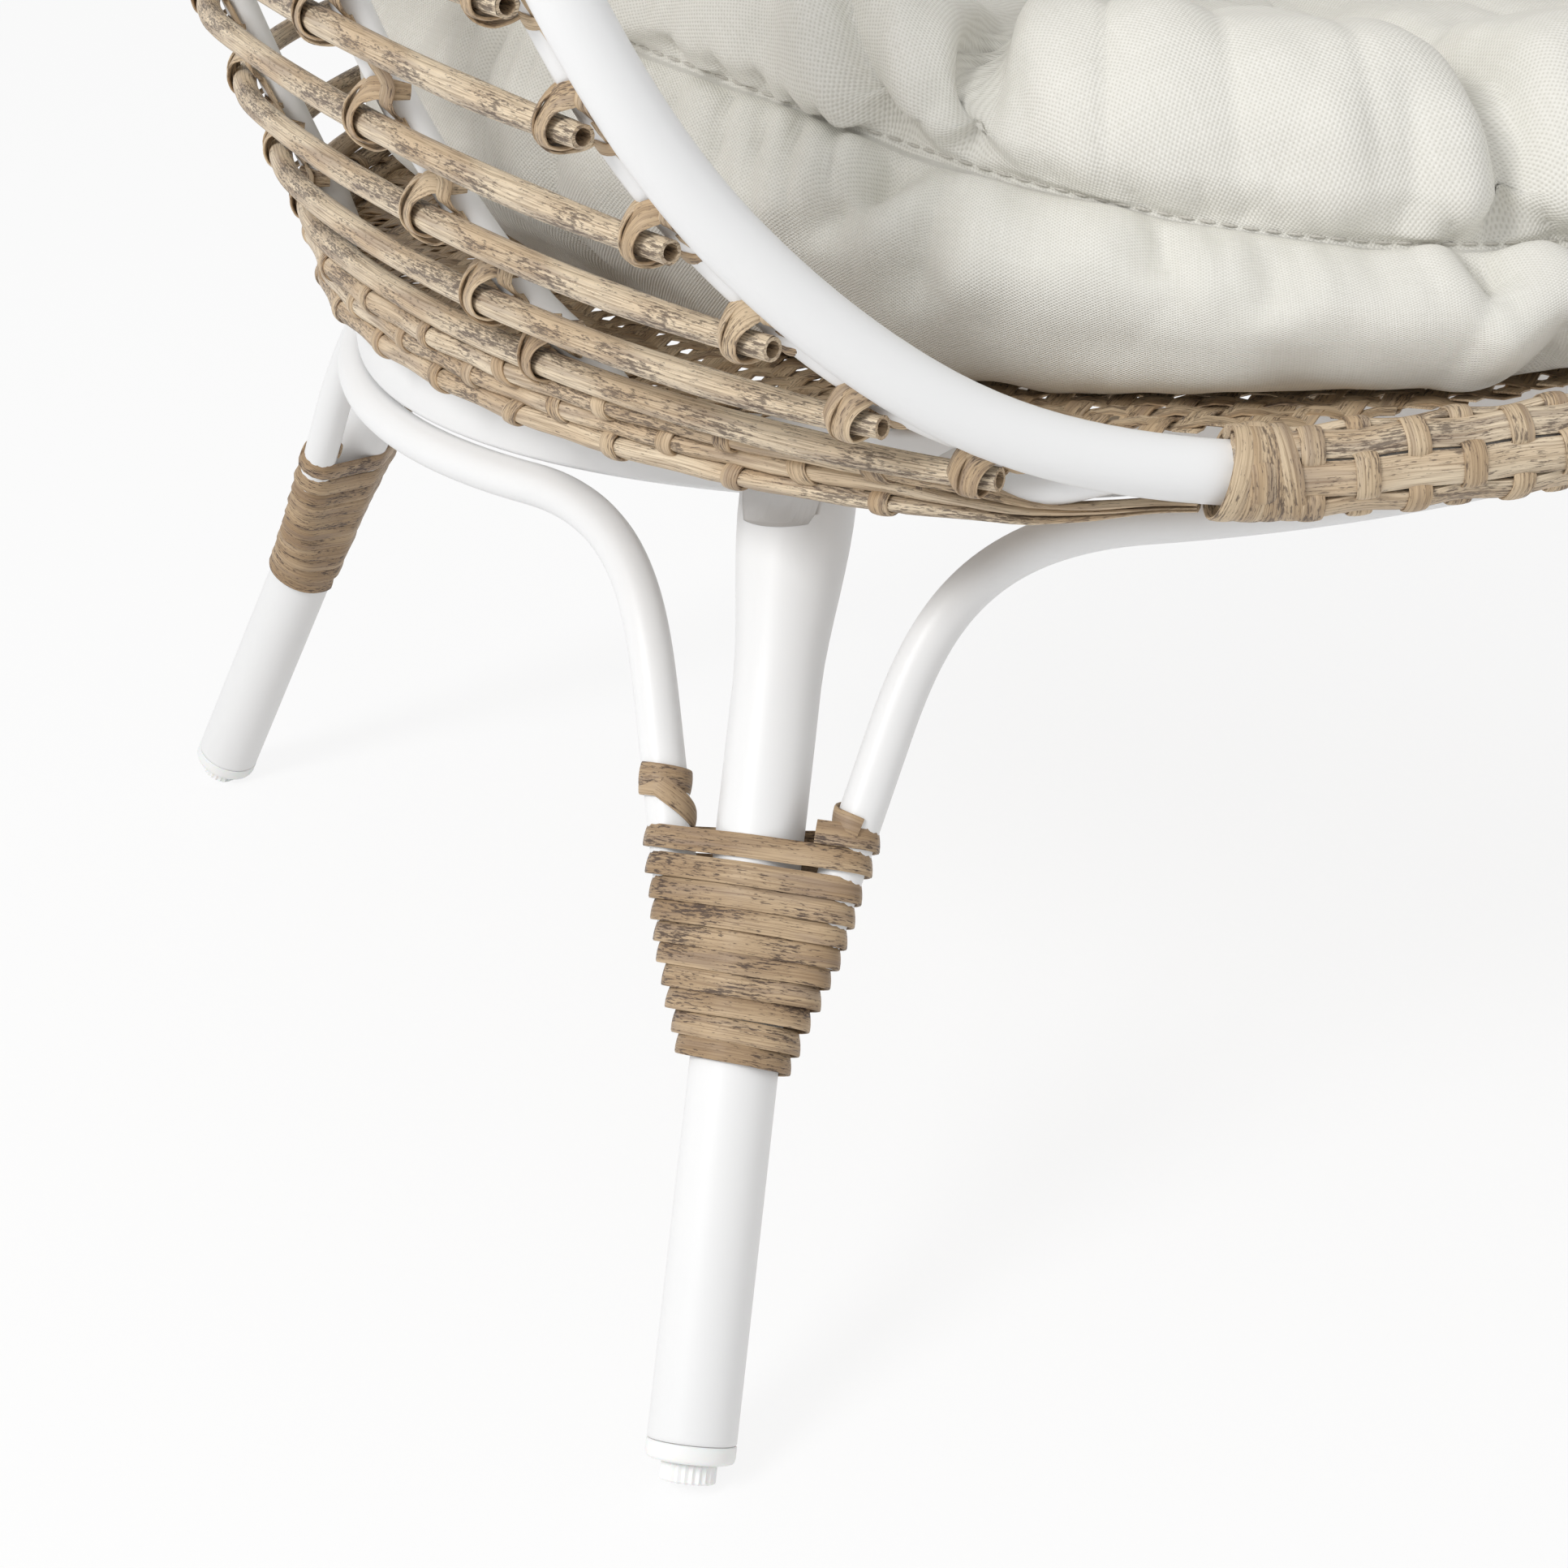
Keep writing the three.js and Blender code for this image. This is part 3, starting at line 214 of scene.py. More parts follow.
class Shell:
    """The surface that the strands follow: level from 0 at the base to 10, place from -1 to 1."""

    RIM_START = 2
    RIM_SAMPLES = 900
    SIDE_STEP = 0.01
    ROW_STEP = 0.01
    CORE = (0, -50, 850)

    def __init__(self, plan: ShellPlan) -> None:
        """Lays out the rim, the back and the rows of strands from the plan."""
        self.plan = plan
        side = [plan.lip[1], *plan.rim]
        mirrored = [(-x, y, z) for x, y, z in reversed(side)]
        self.rim = Spline([plan.lip[0], *side, plan.crown, *mirrored], closed=True)
        self.rim_count = len(self.rim.points)
        self.back = Spline([(h, *b) for h, b in zip(plan.half, plan.back)])
        self.rim_samples = self.rim.spaced(self.RIM_SAMPLES)
        self.rows = self._rows()

    @staticmethod
    def _paired(level: Numbers, place: Numbers) -> tuple:
        """Levels and places as two arrays of one length."""
        return np.broadcast_arrays(np.atleast_1d(level).astype(float), np.atleast_1d(place).astype(float))

    def rim_at(self, level: Numbers) -> Array:
        """Points of the rim's centre line on the right side."""
        return self.rim.at((np.atleast_1d(level) + self.RIM_START) / self.rim_count)

    def front_share(self, place: Numbers) -> Array:
        """How far places are past where the strands start to rise: 0 up to there, 1 at the rim."""
        start = self.plan.rise_start
        return np.maximum((np.abs(np.atleast_1d(place)) - start) / (1 - start), 0)

    def bare(self, level: Numbers, place: Numbers) -> Array:
        """Points of the surface through the rim's centre line."""
        plan = self.plan
        level, place = self._paired(level, place)
        rim = self.rim_at(level)
        half, back_y, back_z = self.back.at(np.minimum(level / (len(plan.half) - 1), 1)).T
        reach = np.abs(place)
        widest = rim[:, 1] + plan.widest * (back_y - rim[:, 1])
        turn = np.arccos(np.minimum(rim[:, 0] / half, 1))
        behind = (math.pi / 2) * reach / plan.back_share
        ahead = turn * (reach - plan.back_share) / (1 - plan.back_share)
        x = np.where(reach <= plan.back_share, half * np.sin(behind), half * np.cos(ahead))
        y = np.where(reach <= plan.back_share, widest + (back_y - widest) * np.cos(behind),
                     widest - (widest - rim[:, 1]) * np.sin(ahead) / np.sin(turn))
        fall = self.front_share(place) ** plan.rise_power
        return np.stack([np.where(place < 0, -x, x), y, back_z + (rim[:, 2] - back_z) * fall], axis=1)

    def _normal(self, surface: Callable[..., Array], level: Numbers, place: Numbers) -> Array:
        """Outward normals of one of the two surfaces, from steps along and across it."""
        step = self.SIDE_STEP
        level, place = self._paired(level, place)
        inner = np.where(np.abs(place) > 1 - step, place - np.sign(place) * step, place)
        along = surface(level + step, inner) - surface(np.maximum(level - step, 0), inner)
        across = surface(level, inner + step) - surface(level, inner - step)
        normal = unit(np.cross(along, across))
        outward = surface(level, inner) - np.array(self.CORE)
        return np.where((np.sum(normal * outward, axis=1) < 0)[:, None], -normal, normal)

    def at(self, level: Numbers, place: Numbers) -> Array:
        """Points of the strands' surface."""
        out = self.plan.stand_off * smooth(self.front_share(place))
        return self.bare(level, place) + self._normal(self.bare, level, place) * out[:, None]

    def normal(self, level: Numbers, place: Numbers) -> Array:
        """Outward normals of the strands' surface."""
        return self._normal(self.at, level, place)

    def base_normal(self, place: Numbers) -> Array:
        """Outward directions of the shell's base, level with the floor."""
        normal = self.normal(0.0, place)
        normal[:, 2] = 0
        return unit(normal)

    def inside(self, level: Numbers, place: Numbers, depth: Numbers) -> Array:
        """Points under the surface by a depth."""
        return self.at(level, place) - self.normal(level, place) * np.atleast_1d(depth)[:, None]

    def edge_place(self, level: Numbers) -> Array:
        """Places of the edge rod along each strand."""
        level = np.atleast_1d(level).astype(float)
        rim = self.rim_at(level)
        low = np.full(len(level), self.plan.back_share)
        return solve(low, np.ones(len(level)), self.plan.edge_gap,
                     lambda place: np.linalg.norm(self.at(level, place) - rim, axis=1))

    def end_place(self, level: float) -> float:
        """Place where a strand ends, short of the rim tube."""
        def gap(place: Array) -> Array:
            """Distances from the strand's points to the rim."""
            found = self.at(level, place)
            return np.array([np.linalg.norm(self.rim_samples - p, axis=1).min() for p in found])
        return float(solve([self.plan.back_share], [1.0], self.plan.strand_end, gap)[0])

    def _rows(self) -> list:
        """Levels of the rows of strands, the first by its height at the rim and the rest by their pitch."""
        plan = self.plan
        height = lambda level: self.rim_at(level)[:, 2]
        first = float(solve([0.0], [3.0], plan.strand_first, height)[0])
        levels = [first]
        grid = np.arange(first, plan.rod_stops[-1] - self.ROW_STEP, self.ROW_STEP)
        steps = np.linalg.norm(np.diff(self.rim_at(grid), axis=0), axis=1)
        walked = 0.0
        for level, step in zip(grid[1:], steps):
            walked += step
            pitch = plan.pitch_low if len(levels) < plan.low_rows else plan.pitch_high
            if walked >= pitch:
                walked -= pitch
                levels.append(float(level))
        return levels


# ---- mesh building


def frames_along(path: Array, closed: bool = False, up: Array | None = None) -> tuple:
    """Two side axes at each point of a path.

    Args:
        path: points of the path.
        closed: whether it joins its own start.
        up: directions for the second axis; without them both are carried along without twist.
    Returns:
        The two axes, each with one row for each point.
    """
    ahead = np.roll(path, -1, axis=0) - np.roll(path, 1, axis=0)
    if not closed:
        ahead[0], ahead[-1] = path[1] - path[0], path[-1] - path[-2]
    travel = unit(ahead)
    if up is not None:
        facing = unit(up - travel * np.sum(up * travel, axis=1, keepdims=True))
        return np.cross(facing, travel), facing
    first = np.cross(travel[0], UP)
    if np.linalg.norm(first) < 0.1:
        first = np.cross(travel[0], [0, 1.0, 0])
    sides = [unit(first)]
    for t in travel[1:]:
        sides.append(unit(sides[-1] - t * np.dot(sides[-1], t)))
    side = np.array(sides)
    return side, np.cross(travel, side)


def round_section(sides: int, radius: float = 1.0) -> Array:
    """A circle as points."""
    angle = np.arange(sides) * 2 * math.pi / sides
    return radius * np.stack([np.cos(angle), np.sin(angle)], axis=1)


def strap_section(thickness: float, crown: float = 0.35) -> Array:
    """A flat strap's section, 1 wide: thin rounded edges and a face that is a little crowned."""
    w, t = 0.5, thickness / 2
    return np.array([[-w, -t * 0.3], [-w * 0.9, -t], [w * 0.9, -t], [w, -t * 0.3], [w, t * 0.4],
                     [w * 0.86, t], [w * 0.4, t + crown * 0.8], [0, t + crown],
                     [-w * 0.4, t + crown * 0.8], [-w * 0.86, t], [-w, t * 0.4]])


def grid_faces(rows: int, sides: int, closed: bool = False, caps: bool = True) -> list:
    """Quads between rings of points that follow each other.

    Args:
        rows: how many rings.
        sides: points in each ring.
        closed: whether the last ring joins the first.
        caps: whether the ends of an open row of rings are shut.
    Returns:
        Faces as tuples of point numbers.
    """
    faces = []
    for i in range(rows if closed else rows - 1):
        a, b = i * sides, ((i + 1) % rows) * sides
        faces += [(a + j, a + (j + 1) % sides, b + (j + 1) % sides, b + j) for j in range(sides)]
    if caps and not closed:
        faces += [tuple(range(sides))[::-1], tuple((rows - 1) * sides + j for j in range(sides))]
    return faces


def level_path(x: Numbers, y: Numbers, z: Numbers) -> Array:
    """Points from their coordinates, each a number or an array."""
    return np.stack(np.broadcast_arrays(x, y, z), axis=-1).astype(float)


@dataclass
class Body:
    """Points, faces and grain coordinates that become one mesh."""

    GRAIN_STEP = 137.0

    points: list = field(default_factory=list)
    faces: list = field(default_factory=list)
    grain: list = field(default_factory=list)
    count: int = 0
    pieces: int = 0

    def add(self, points: Array, faces: list, grain: Array) -> None:
        """Adds one loose piece; its grain starts at a place of its own.

        Args:
            points: the piece's points.
            faces: its faces, as tuples of point numbers.
            grain: a coordinate for each point, along the piece and across it.
        """
        self.points.append(points)
        self.faces.extend([tuple(i + self.count for i in f) for f in faces])
        moved = np.array(grain, float)
        moved[:, 0] += self.GRAIN_STEP * self.pieces
        self.grain.append(moved)
        self.count += len(points)
        self.pieces += 1

    def sweep(self, path: Array, section: Array, axes: tuple, closed: bool = False,
              caps: bool = True) -> None:
        """Carries a section along a path.

        Args:
            path: points of the path.
            section: one section for the whole path, or one for each point.
            axes: the two side axes at each point.
            closed: whether the path joins its own start.
            caps: whether the ends are shut.
        """
        section = np.broadcast_to(section, (len(path), *np.shape(section)[-2:]))
        side, facing = axes
        rings = path[:, None] + section[..., :1] * side[:, None] + section[..., 1:] * facing[:, None]
        n, m = rings.shape[:2]
        along = np.broadcast_to(travelled(path)[:, None, None], (n, m, 1))
        grain = np.concatenate([along, section], axis=2)
        self.add(rings.reshape(-1, 3), grid_faces(n, m, closed, caps), grain.reshape(-1, 3))

    def tube(self, path: Array, radius: Numbers, sides: int = 20, closed: bool = False) -> None:
        """A round bar along a path; radius is one number or one for each point."""
        radius = np.broadcast_to(np.asarray(radius, float), (len(path),))
        section = round_section(sides)[None] * radius[:, None, None]
        self.sweep(path, section, frames_along(path, closed), closed)

    def strap(self, path: Array, facing: Array, width: Numbers, thickness: float) -> None:
        """A flat strap along a path.

        Args:
            path: points of the strap's middle.
            facing: the direction that its face looks in at each point.
            width: one width, or one for each point.
            thickness: thickness at its edges.
        """
        width = np.broadcast_to(np.asarray(width, float), (len(path),))
        stretch = np.stack([width, np.ones(len(path))], axis=1)[:, None]
        self.sweep(path, strap_section(thickness)[None] * stretch, frames_along(path, up=facing))

    def lathe(self, profile: list, sides: int) -> None:
        """A body of revolution about +Z from (radius, height) pairs, its two ends shut flat."""
        profile = np.array(profile, float)
        angle = np.arange(sides) * 2 * math.pi / sides
        radius = profile[:, None, 0]
        points = level_path(radius * np.cos(angle), radius * np.sin(angle), profile[:, None, 1])
        points = points.reshape(-1, 3)
        self.add(points, grid_faces(len(profile), sides), points[:, [2, 0, 1]])

    def moved(self, matrix: Array) -> "Body":
        """A copy of the body, its points moved by a 4x4 matrix."""
        points = [p @ matrix[:3, :3].T + matrix[:3, 3] for p in self.points]
        return Body(points, list(self.faces), list(self.grain), self.count, self.pieces)

    def build(self, name: str, material: bpy.types.Material, slot: Slot, body: str = CHAIR,
              replaces: tuple = (), sharp: float = 40.0) -> bpy.types.Object:
        """Makes the mesh, in metres in the shared frame, and hangs it on its CAD body.

        Args:
            name: the piece's name.
            material: its finish.
            slot: its slot in the record; not used.
            body: the CAD body that it rides on.
            replaces: the CAD nodes that it stands for.
            sharp: angle in degrees past which an edge stays sharp.
        Returns:
            The finished piece.
        """
        points = (np.concatenate(self.points) + FRAME_SHIFT) * MM
        mesh = bpy.data.meshes.new(name)
        mesh.from_pydata(points.tolist(), [], self.faces)
        grain = mesh.attributes.new("grain", "FLOAT_VECTOR", "POINT")
        values = (np.concatenate(self.grain) * MM).astype(np.float32)
        grain.data.foreach_set("vector", values.ravel())
        mesh.polygons.foreach_set("use_smooth", [True] * len(mesh.polygons))
        mesh.validate()
        piece = bpy.data.objects.new(name, mesh)
        bpy.context.scene.collection.objects.link(piece)
        mesh.set_sharp_from_angle(angle=math.radians(sharp))
        mesh.materials.append(material)
        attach(piece, body)
        if replaces:
            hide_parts(*replaces)
        log.info("%s: %d faces", name, len(mesh.polygons))
        return piece


# ---- materials


def add_node(tree: Tree, kind: str, settings: dict | None = None, **inputs: object) -> bpy.types.Node:
    """Adds a node to a tree.

    Args:
        tree: the node tree.
        kind: the node's type.
        settings: its settings by name.
        inputs: numbers or sockets for its inputs, by name with _ for a space, or by place as i0, i1.
    Returns:
        The node.
    """
    node = tree.nodes.new(kind)
    for name, value in (settings or {}).items():
        setattr(node, name, value)
    for name, value in inputs.items():
        by_place = name[0] == "i" and name[1:].isdigit()
        fill(tree, node.inputs[int(name[1:])] if by_place else node.inputs[name.replace("_", " ")], value)
    return node


def fill(tree: Tree, target: Socket, value: object) -> None:
    """Gives an input its value, or links the socket that it is fed by."""
    if isinstance(value, Socket):
        tree.links.new(value, target)
    else:
        target.default_value = value


def new_group(name: str, entry: str, outputs: tuple) -> tuple:
    """A node group with one vector input and number outputs, all named.

    Args:
        name: the group's name.
        entry: the input's name.
        outputs: the outputs' names.
    Returns:
        The group, its input socket inside, and its output sockets inside.
    """
    group = bpy.data.node_groups.new(name, "ShaderNodeTree")
    group.interface.new_socket(entry, in_out="INPUT", socket_type="NodeSocketVector")
    for socket in outputs:
        group.interface.new_socket(socket, in_out="OUTPUT", socket_type="NodeSocketFloat")
    start, end = group.nodes.new("NodeGroupInput"), group.nodes.new("NodeGroupOutput")
    return group, start.outputs[0], end.inputs


def stretched_noise(tree: Tree, vector: Socket, scale: tuple, detail: float = 2.0,
                    rough: float = 0.5) -> Socket:
    """Noise of the grain coordinate, stretched by a scale per axis, in cycles per metre."""
    moved = add_node(tree, "ShaderNodeVectorMath", {"operation": "MULTIPLY"}, i0=vector, i1=scale)
    return add_node(tree, "ShaderNodeTexNoise", i0=moved.outputs[0], Scale=1.0, Detail=detail,
                    Roughness=rough).outputs[0]


def ramp(tree: Tree, value: Socket, low: float, high: float) -> Socket:
    """A smooth 0..1 step of a value between two bounds."""
    return add_node(tree, "ShaderNodeMapRange", {"interpolation_type": "SMOOTHSTEP"}, Value=value,
                    From_Min=low, From_Max=high).outputs[0]


def math_node(tree: Tree, operation: str, first: Socket | float, second: Socket | float = 0.0) -> Socket:
    """A maths node's result."""
    return add_node(tree, "ShaderNodeMath", {"operation": operation}, i0=first, i1=second).outputs[0]


def mix_colour(tree: Tree, share: Socket, first: Socket | Colour, second: Socket | Colour) -> Socket:
    """A mix of two colours."""
    return add_node(tree, "ShaderNodeMix", {"data_type": "RGBA"}, i0=share, i6=first, i7=second).outputs[2]


class Shader:
    """A material's node tree while it is put together."""

    def __init__(self, name: str) -> None:
        """Starts a material with a Principled shader alone."""
        self.material = bpy.data.materials.new(name)
        self.material.use_nodes = True
        self.tree = self.material.node_tree
        self.tree.nodes.clear()
        self.output = self.tree.nodes.new("ShaderNodeOutputMaterial")
        self.bsdf = self.tree.nodes.new("ShaderNodeBsdfPrincipled")
        self.tree.links.new(self.bsdf.outputs[0], self.output.inputs[0])

    def set(self, **values: object) -> None:
        """Fills the Principled shader's sockets by name, with _ for a space."""
        for name, value in values.items():
            fill(self.tree, self.bsdf.inputs[name.replace("_", " ")], value)

    def node(self, kind: str, settings: dict | None = None, **inputs: object) -> bpy.types.Node:
        """Adds a node to the material."""
        return add_node(self.tree, kind, settings, **inputs)

    def cloud(self, scale: float, detail: float) -> Socket:
        """Plain noise of the piece's own place."""
        place = self.node("ShaderNodeTexCoord").outputs["Object"]
        return self.node("ShaderNodeTexNoise", i0=place, Scale=scale, Detail=detail).outputs[0]

    def surface(self, group: Tree) -> bpy.types.bpy_prop_collection:
        """Places a group that reads the mesh's grain coordinate, and gives its outputs."""
        grain = self.node("ShaderNodeAttribute", {"attribute_name": "grain"})
        return self.node("ShaderNodeGroup", {"node_tree": group}, i0=grain.outputs["Vector"]).outputs

    def span(self, value: Socket, low: float, high: float) -> Socket:
        """A mask brought between two values."""
        return self.node("ShaderNodeMapRange", Value=value, To_Min=low, To_Max=high).outputs[0]

    def bump(self, height: Socket, strength: float, distance: float) -> Socket:
        """A bumped normal from a height."""
        return self.node("ShaderNodeBump", Strength=strength, Distance=distance, Height=height).outputs[0]


def cane_group() -> Tree:
    """Grain of extruded rattan: flecks along it, fine lines, paler patches and darker ones."""
    group, grain, ends = new_group("cane_grain", "Grain", ("Fleck", "Streak", "Patch", "Dark"))
    fleck = stretched_noise(group, grain, (210, 1250, 1250), 3.5, 0.7)
    density = stretched_noise(group, grain, (24, 110, 110), 2.0)
    pushed = math_node(group, "ADD", fleck, math_node(group, "MULTIPLY", density, 0.55))
    patch = stretched_noise(group, grain, (14, 70, 70), 1.5)
    dark = stretched_noise(group, grain, (20, 230, 230), 2.0)
    fill(group, ends[0], ramp(group, pushed, 0.80, 0.92))
    fill(group, ends[1], stretched_noise(group, grain, (26, 1500, 1500), 3.0, 0.65))
    fill(group, ends[2], ramp(group, patch, 0.36, 0.64))
    fill(group, ends[3], ramp(group, dark, 0.48, 0.70))
    return group


def weave_group(pitch: float = 0.0017) -> Tree:
    """Basket weave of a plain canvas on its panels: thread heights and uneven yarn.

    Args:
        pitch: metres from one thread to the next but one.
    Returns:
        The group.
    """
    group, cloth, ends = new_group("canvas_weave", "Cloth", ("Height", "Tone"))
    bend = stretched_noise(group, cloth, (60, 60, 60), 1.0)
    shift = math_node(group, "MULTIPLY", bend, 2.4)
    split = add_node(group, "ShaderNodeSeparateXYZ", i0=cloth)
    waves = []
    for place in split.outputs[:2]:
        phase = math_node(group, "MULTIPLY", place, 2 * math.pi / pitch)
        waves.append(math_node(group, "SINE", math_node(group, "ADD", phase, shift)))
    yarn = math_node(group, "ADD", stretched_noise(group, cloth, (40, 1100, 1), 1.0),
                     stretched_noise(group, cloth, (1100, 40, 1), 1.0))
    fill(group, ends[0], math_node(group, "MULTIPLY", *waves))
    fill(group, ends[1], math_node(group, "MULTIPLY", yarn, 0.5))
    return group


@dataclass(frozen=True)
class Rattan:
    """Extruded rattan: two tans in patches, brown lines and dark flecks."""

    name: str
    tan: Colour
    pale: Colour
    flecks: float = 0.85
    mauve: Colour = (0.235, 0.175, 0.145, 1)
    line: Colour = (0.205, 0.130, 0.072, 1)
    fleck: Colour = (0.05, 0.03, 0.024, 1)

    def make(self, group: Tree) -> bpy.types.Material:
        """Builds the material round the cane's grain group."""
        shader = Shader(self.name)
        tree = shader.tree
        fleck, streak, patch, dark = shader.surface(group)
        base = mix_colour(tree, patch, self.tan, self.pale)
        dulled = mix_colour(tree, math_node(tree, "MULTIPLY", dark, 0.45), base, self.mauve)
        lines = math_node(tree, "MULTIPLY", ramp(tree, streak, 0.42, 0.66), 0.62)
        lined = mix_colour(tree, lines, dulled, self.line)
        flecks = math_node(tree, "MULTIPLY", fleck, 0.86 * self.flecks)
        height = math_node(tree, "SUBTRACT", streak, math_node(tree, "MULTIPLY", fleck, 0.35))
        shader.set(Base_Color=mix_colour(tree, flecks, lined, self.fleck),
                   Roughness=shader.span(streak, 0.42, 0.62), Normal=shader.bump(height, 0.35, 0.0006),
                   Specular_IOR_Level=0.4)
        return shader.material


@dataclass(frozen=True)
class Canvas:
    """Woven cloth: two yarn tones, and painted shade in the gaps between its threads."""

    name: str
    low: Colour
    high: Colour
    # Painted shade: the colour laid in the low gaps between threads, where shade falls.
    gap: Colour = (0.48, 0.46, 0.40, 1)

    def make(self, group: Tree) -> bpy.types.Material:
        """Builds the material round the weave group."""
        shader = Shader(self.name)
        tree = shader.tree
        height, tone = shader.surface(group)
        threads = mix_colour(tree, ramp(tree, tone, 0.25, 0.75), self.low, self.high)
        # Painted shade: the gap colour is mixed in as the thread height falls.
        shade = math_node(tree, "MULTIPLY", ramp(tree, height, 0.1, -0.9), 0.42)
        shader.set(Base_Color=mix_colour(tree, shade, threads, self.gap),
                   Roughness=shader.span(tone, 0.82, 0.95), Normal=shader.bump(height, 0.5, 0.00035),
                   Specular_IOR_Level=0.25, Sheen_Weight=0.15, Sheen_Roughness=0.5)
        return shader.material


@dataclass(frozen=True)
class PowderCoat:
    """Satin white powder coat with a fine orange peel."""

    low: Colour = (0.815, 0.818, 0.822, 1)
    high: Colour = (0.86, 0.86, 0.857, 1)

    def make(self) -> bpy.types.Material:
        """Builds the material."""
        shader = Shader("powder_coat")
        peel = shader.cloud(620.0, 1.0)
        shader.set(Base_Color=mix_colour(shader.tree, shader.cloud(9.0, 2.0), self.low, self.high),
                   Roughness=shader.span(peel, 0.36, 0.48), Normal=shader.bump(peel, 0.12, 0.0002),
                   Specular_IOR_Level=0.5)
        return shader.material


@dataclass(frozen=True)
class Clouded:
    """A plain finish whose colour and roughness vary a little over the piece."""

    name: str
    low: Colour
    high: Colour
    scale: float
    detail: float
    roughness: tuple[float, float]
    metallic: float = 0.0
    subsurface: float = 0.0
    subsurface_scale: float = 0.01

    def make(self) -> bpy.types.Material:
        """Builds the material."""
        shader = Shader(self.name)
        cloud = shader.cloud(self.scale, self.detail)
        shader.set(Base_Color=mix_colour(shader.tree, cloud, self.low, self.high),
                   Roughness=shader.span(cloud, *self.roughness), Metallic=self.metallic,
                   Subsurface_Weight=self.subsurface)
        if self.subsurface:
            shader.set(Subsurface_Scale=self.subsurface_scale)
        return shader.material


class Finishes:
    """Every material of the chair."""

    def __init__(self) -> None:
        """Builds all the materials."""
        grain, weave = cane_group(), weave_group()
        self.cane = Rattan("cane", (0.60, 0.455, 0.30, 1), (0.77, 0.645, 0.475, 1)).make(grain)
        self.strap = Rattan("strap", (0.50, 0.36, 0.22, 1), (0.67, 0.53, 0.36, 1)).make(grain)
        # The wound rattan is a darker copy of the cane: its deeper tans paint the shade that falls on the leg
        # bindings under the ring.
        self.wound = Rattan("wound", (0.36, 0.245, 0.14, 1), (0.53, 0.39, 0.245, 1), 1.0).make(grain)
        self.white = PowderCoat().make()
        self.canvas = Canvas("canvas", (0.78, 0.765, 0.705, 1), (0.835, 0.82, 0.765, 1)).make(weave)
        self.thread = Canvas("thread", (0.55, 0.53, 0.48, 1), (0.62, 0.60, 0.55, 1)).make(weave)
        self.plastic = Clouded("moulded_plastic", (0.87, 0.87, 0.86, 1), (0.93, 0.93, 0.92, 1), 60.0, 2.0,
                               (0.4, 0.55), subsurface=0.15).make()
        self.steel = Clouded("bolt_zinc", (0.55, 0.56, 0.58, 1), (0.72, 0.73, 0.74, 1), 400.0, 3.0,
                             (0.18, 0.34), metallic=1.0).make()


# ---- frame: ring, legs, arches, rim, rods


@dataclass(frozen=True)
class FramePlan:
    """Driving dimensions of the white frame, as the part has them."""

    fit: float = 0.3
    ring_radius: float = 360.0
    ring_width: float = 20.0
    ring_height: float = 30.0
    ring_bottom: float = 331.5
    leg_radius: float = 17.5
    leg_wall: float = 1.5
    flare_radius: float = 23.3
    flare_length: float = 72.0
    shoulder_rise: float = 24.0
    shoulder_out: float = 25.5
    leg_top_radius: float = 362.0
    leg_foot_radius: float = 563.0
    leg_swing: float = 1.0
    cap_show: float = 7.0
    foot_radius: float = 11.0
    foot_height: float = 8.0
    foot_flat: float = 2.2
    foot_gap: float = 0.5
    stem_radius: float = 4.0
    arch_radius: float = 9.0
    arch_ring_angle: float = 22.0
    bend_drop: float = 88.0
    bend_offset: float = 49.0
    end_drop: float = 180.0
    arch_handle: float = 46.0
    ring_handle: float = 66.0
    bolt_angle: float = 5.9
    rim_radius: float = 11.5
    hoop_radius: float = 8.0
    hoop_inset: float = 13.0
    hoop_end: float = 0.93
    hoop_weld: float = 0.25
    rail_size: float = 20.0
    rod_radius: float = 7.5

    @property
    def ring_top(self) -> float:
        """Height of the leg ring's upper face."""
        return self.ring_bottom + self.ring_height

    @property
    def ring_middle(self) -> float:
        """Radius of the leg ring's centre line."""
        return self.ring_radius - self.ring_width / 2

    @property
    def bolt_turn(self) -> float:
        """Angle of a ring bolt from the X axis, in radians."""
        return math.radians(45 - self.leg_swing + self.bolt_angle)

    @property
    def hoop_height(self) -> float:
        """Height of the seat hoop's centre line."""
        return self.ring_top + self.fit + self.hoop_radius


class Leg(Enum):
    """The four legs, with the signs of X and Y on which each stands."""

    FRONT_LEFT = (-1, -1)
    FRONT_RIGHT = (1, -1)
    BACK_RIGHT = (1, 1)
    BACK_LEFT = (-1, 1)

    @property
    def label(self) -> str:
        """The leg's part of its nodes' names."""
        return self.name.lower()


def polar(radius: float, degrees: Numbers, height: float = 0.0) -> Array:
    """A point, or a row for each angle, on a level circle about the chair's middle."""
    angle = np.radians(degrees)
    return level_path(radius * np.cos(angle), radius * np.sin(angle), height)


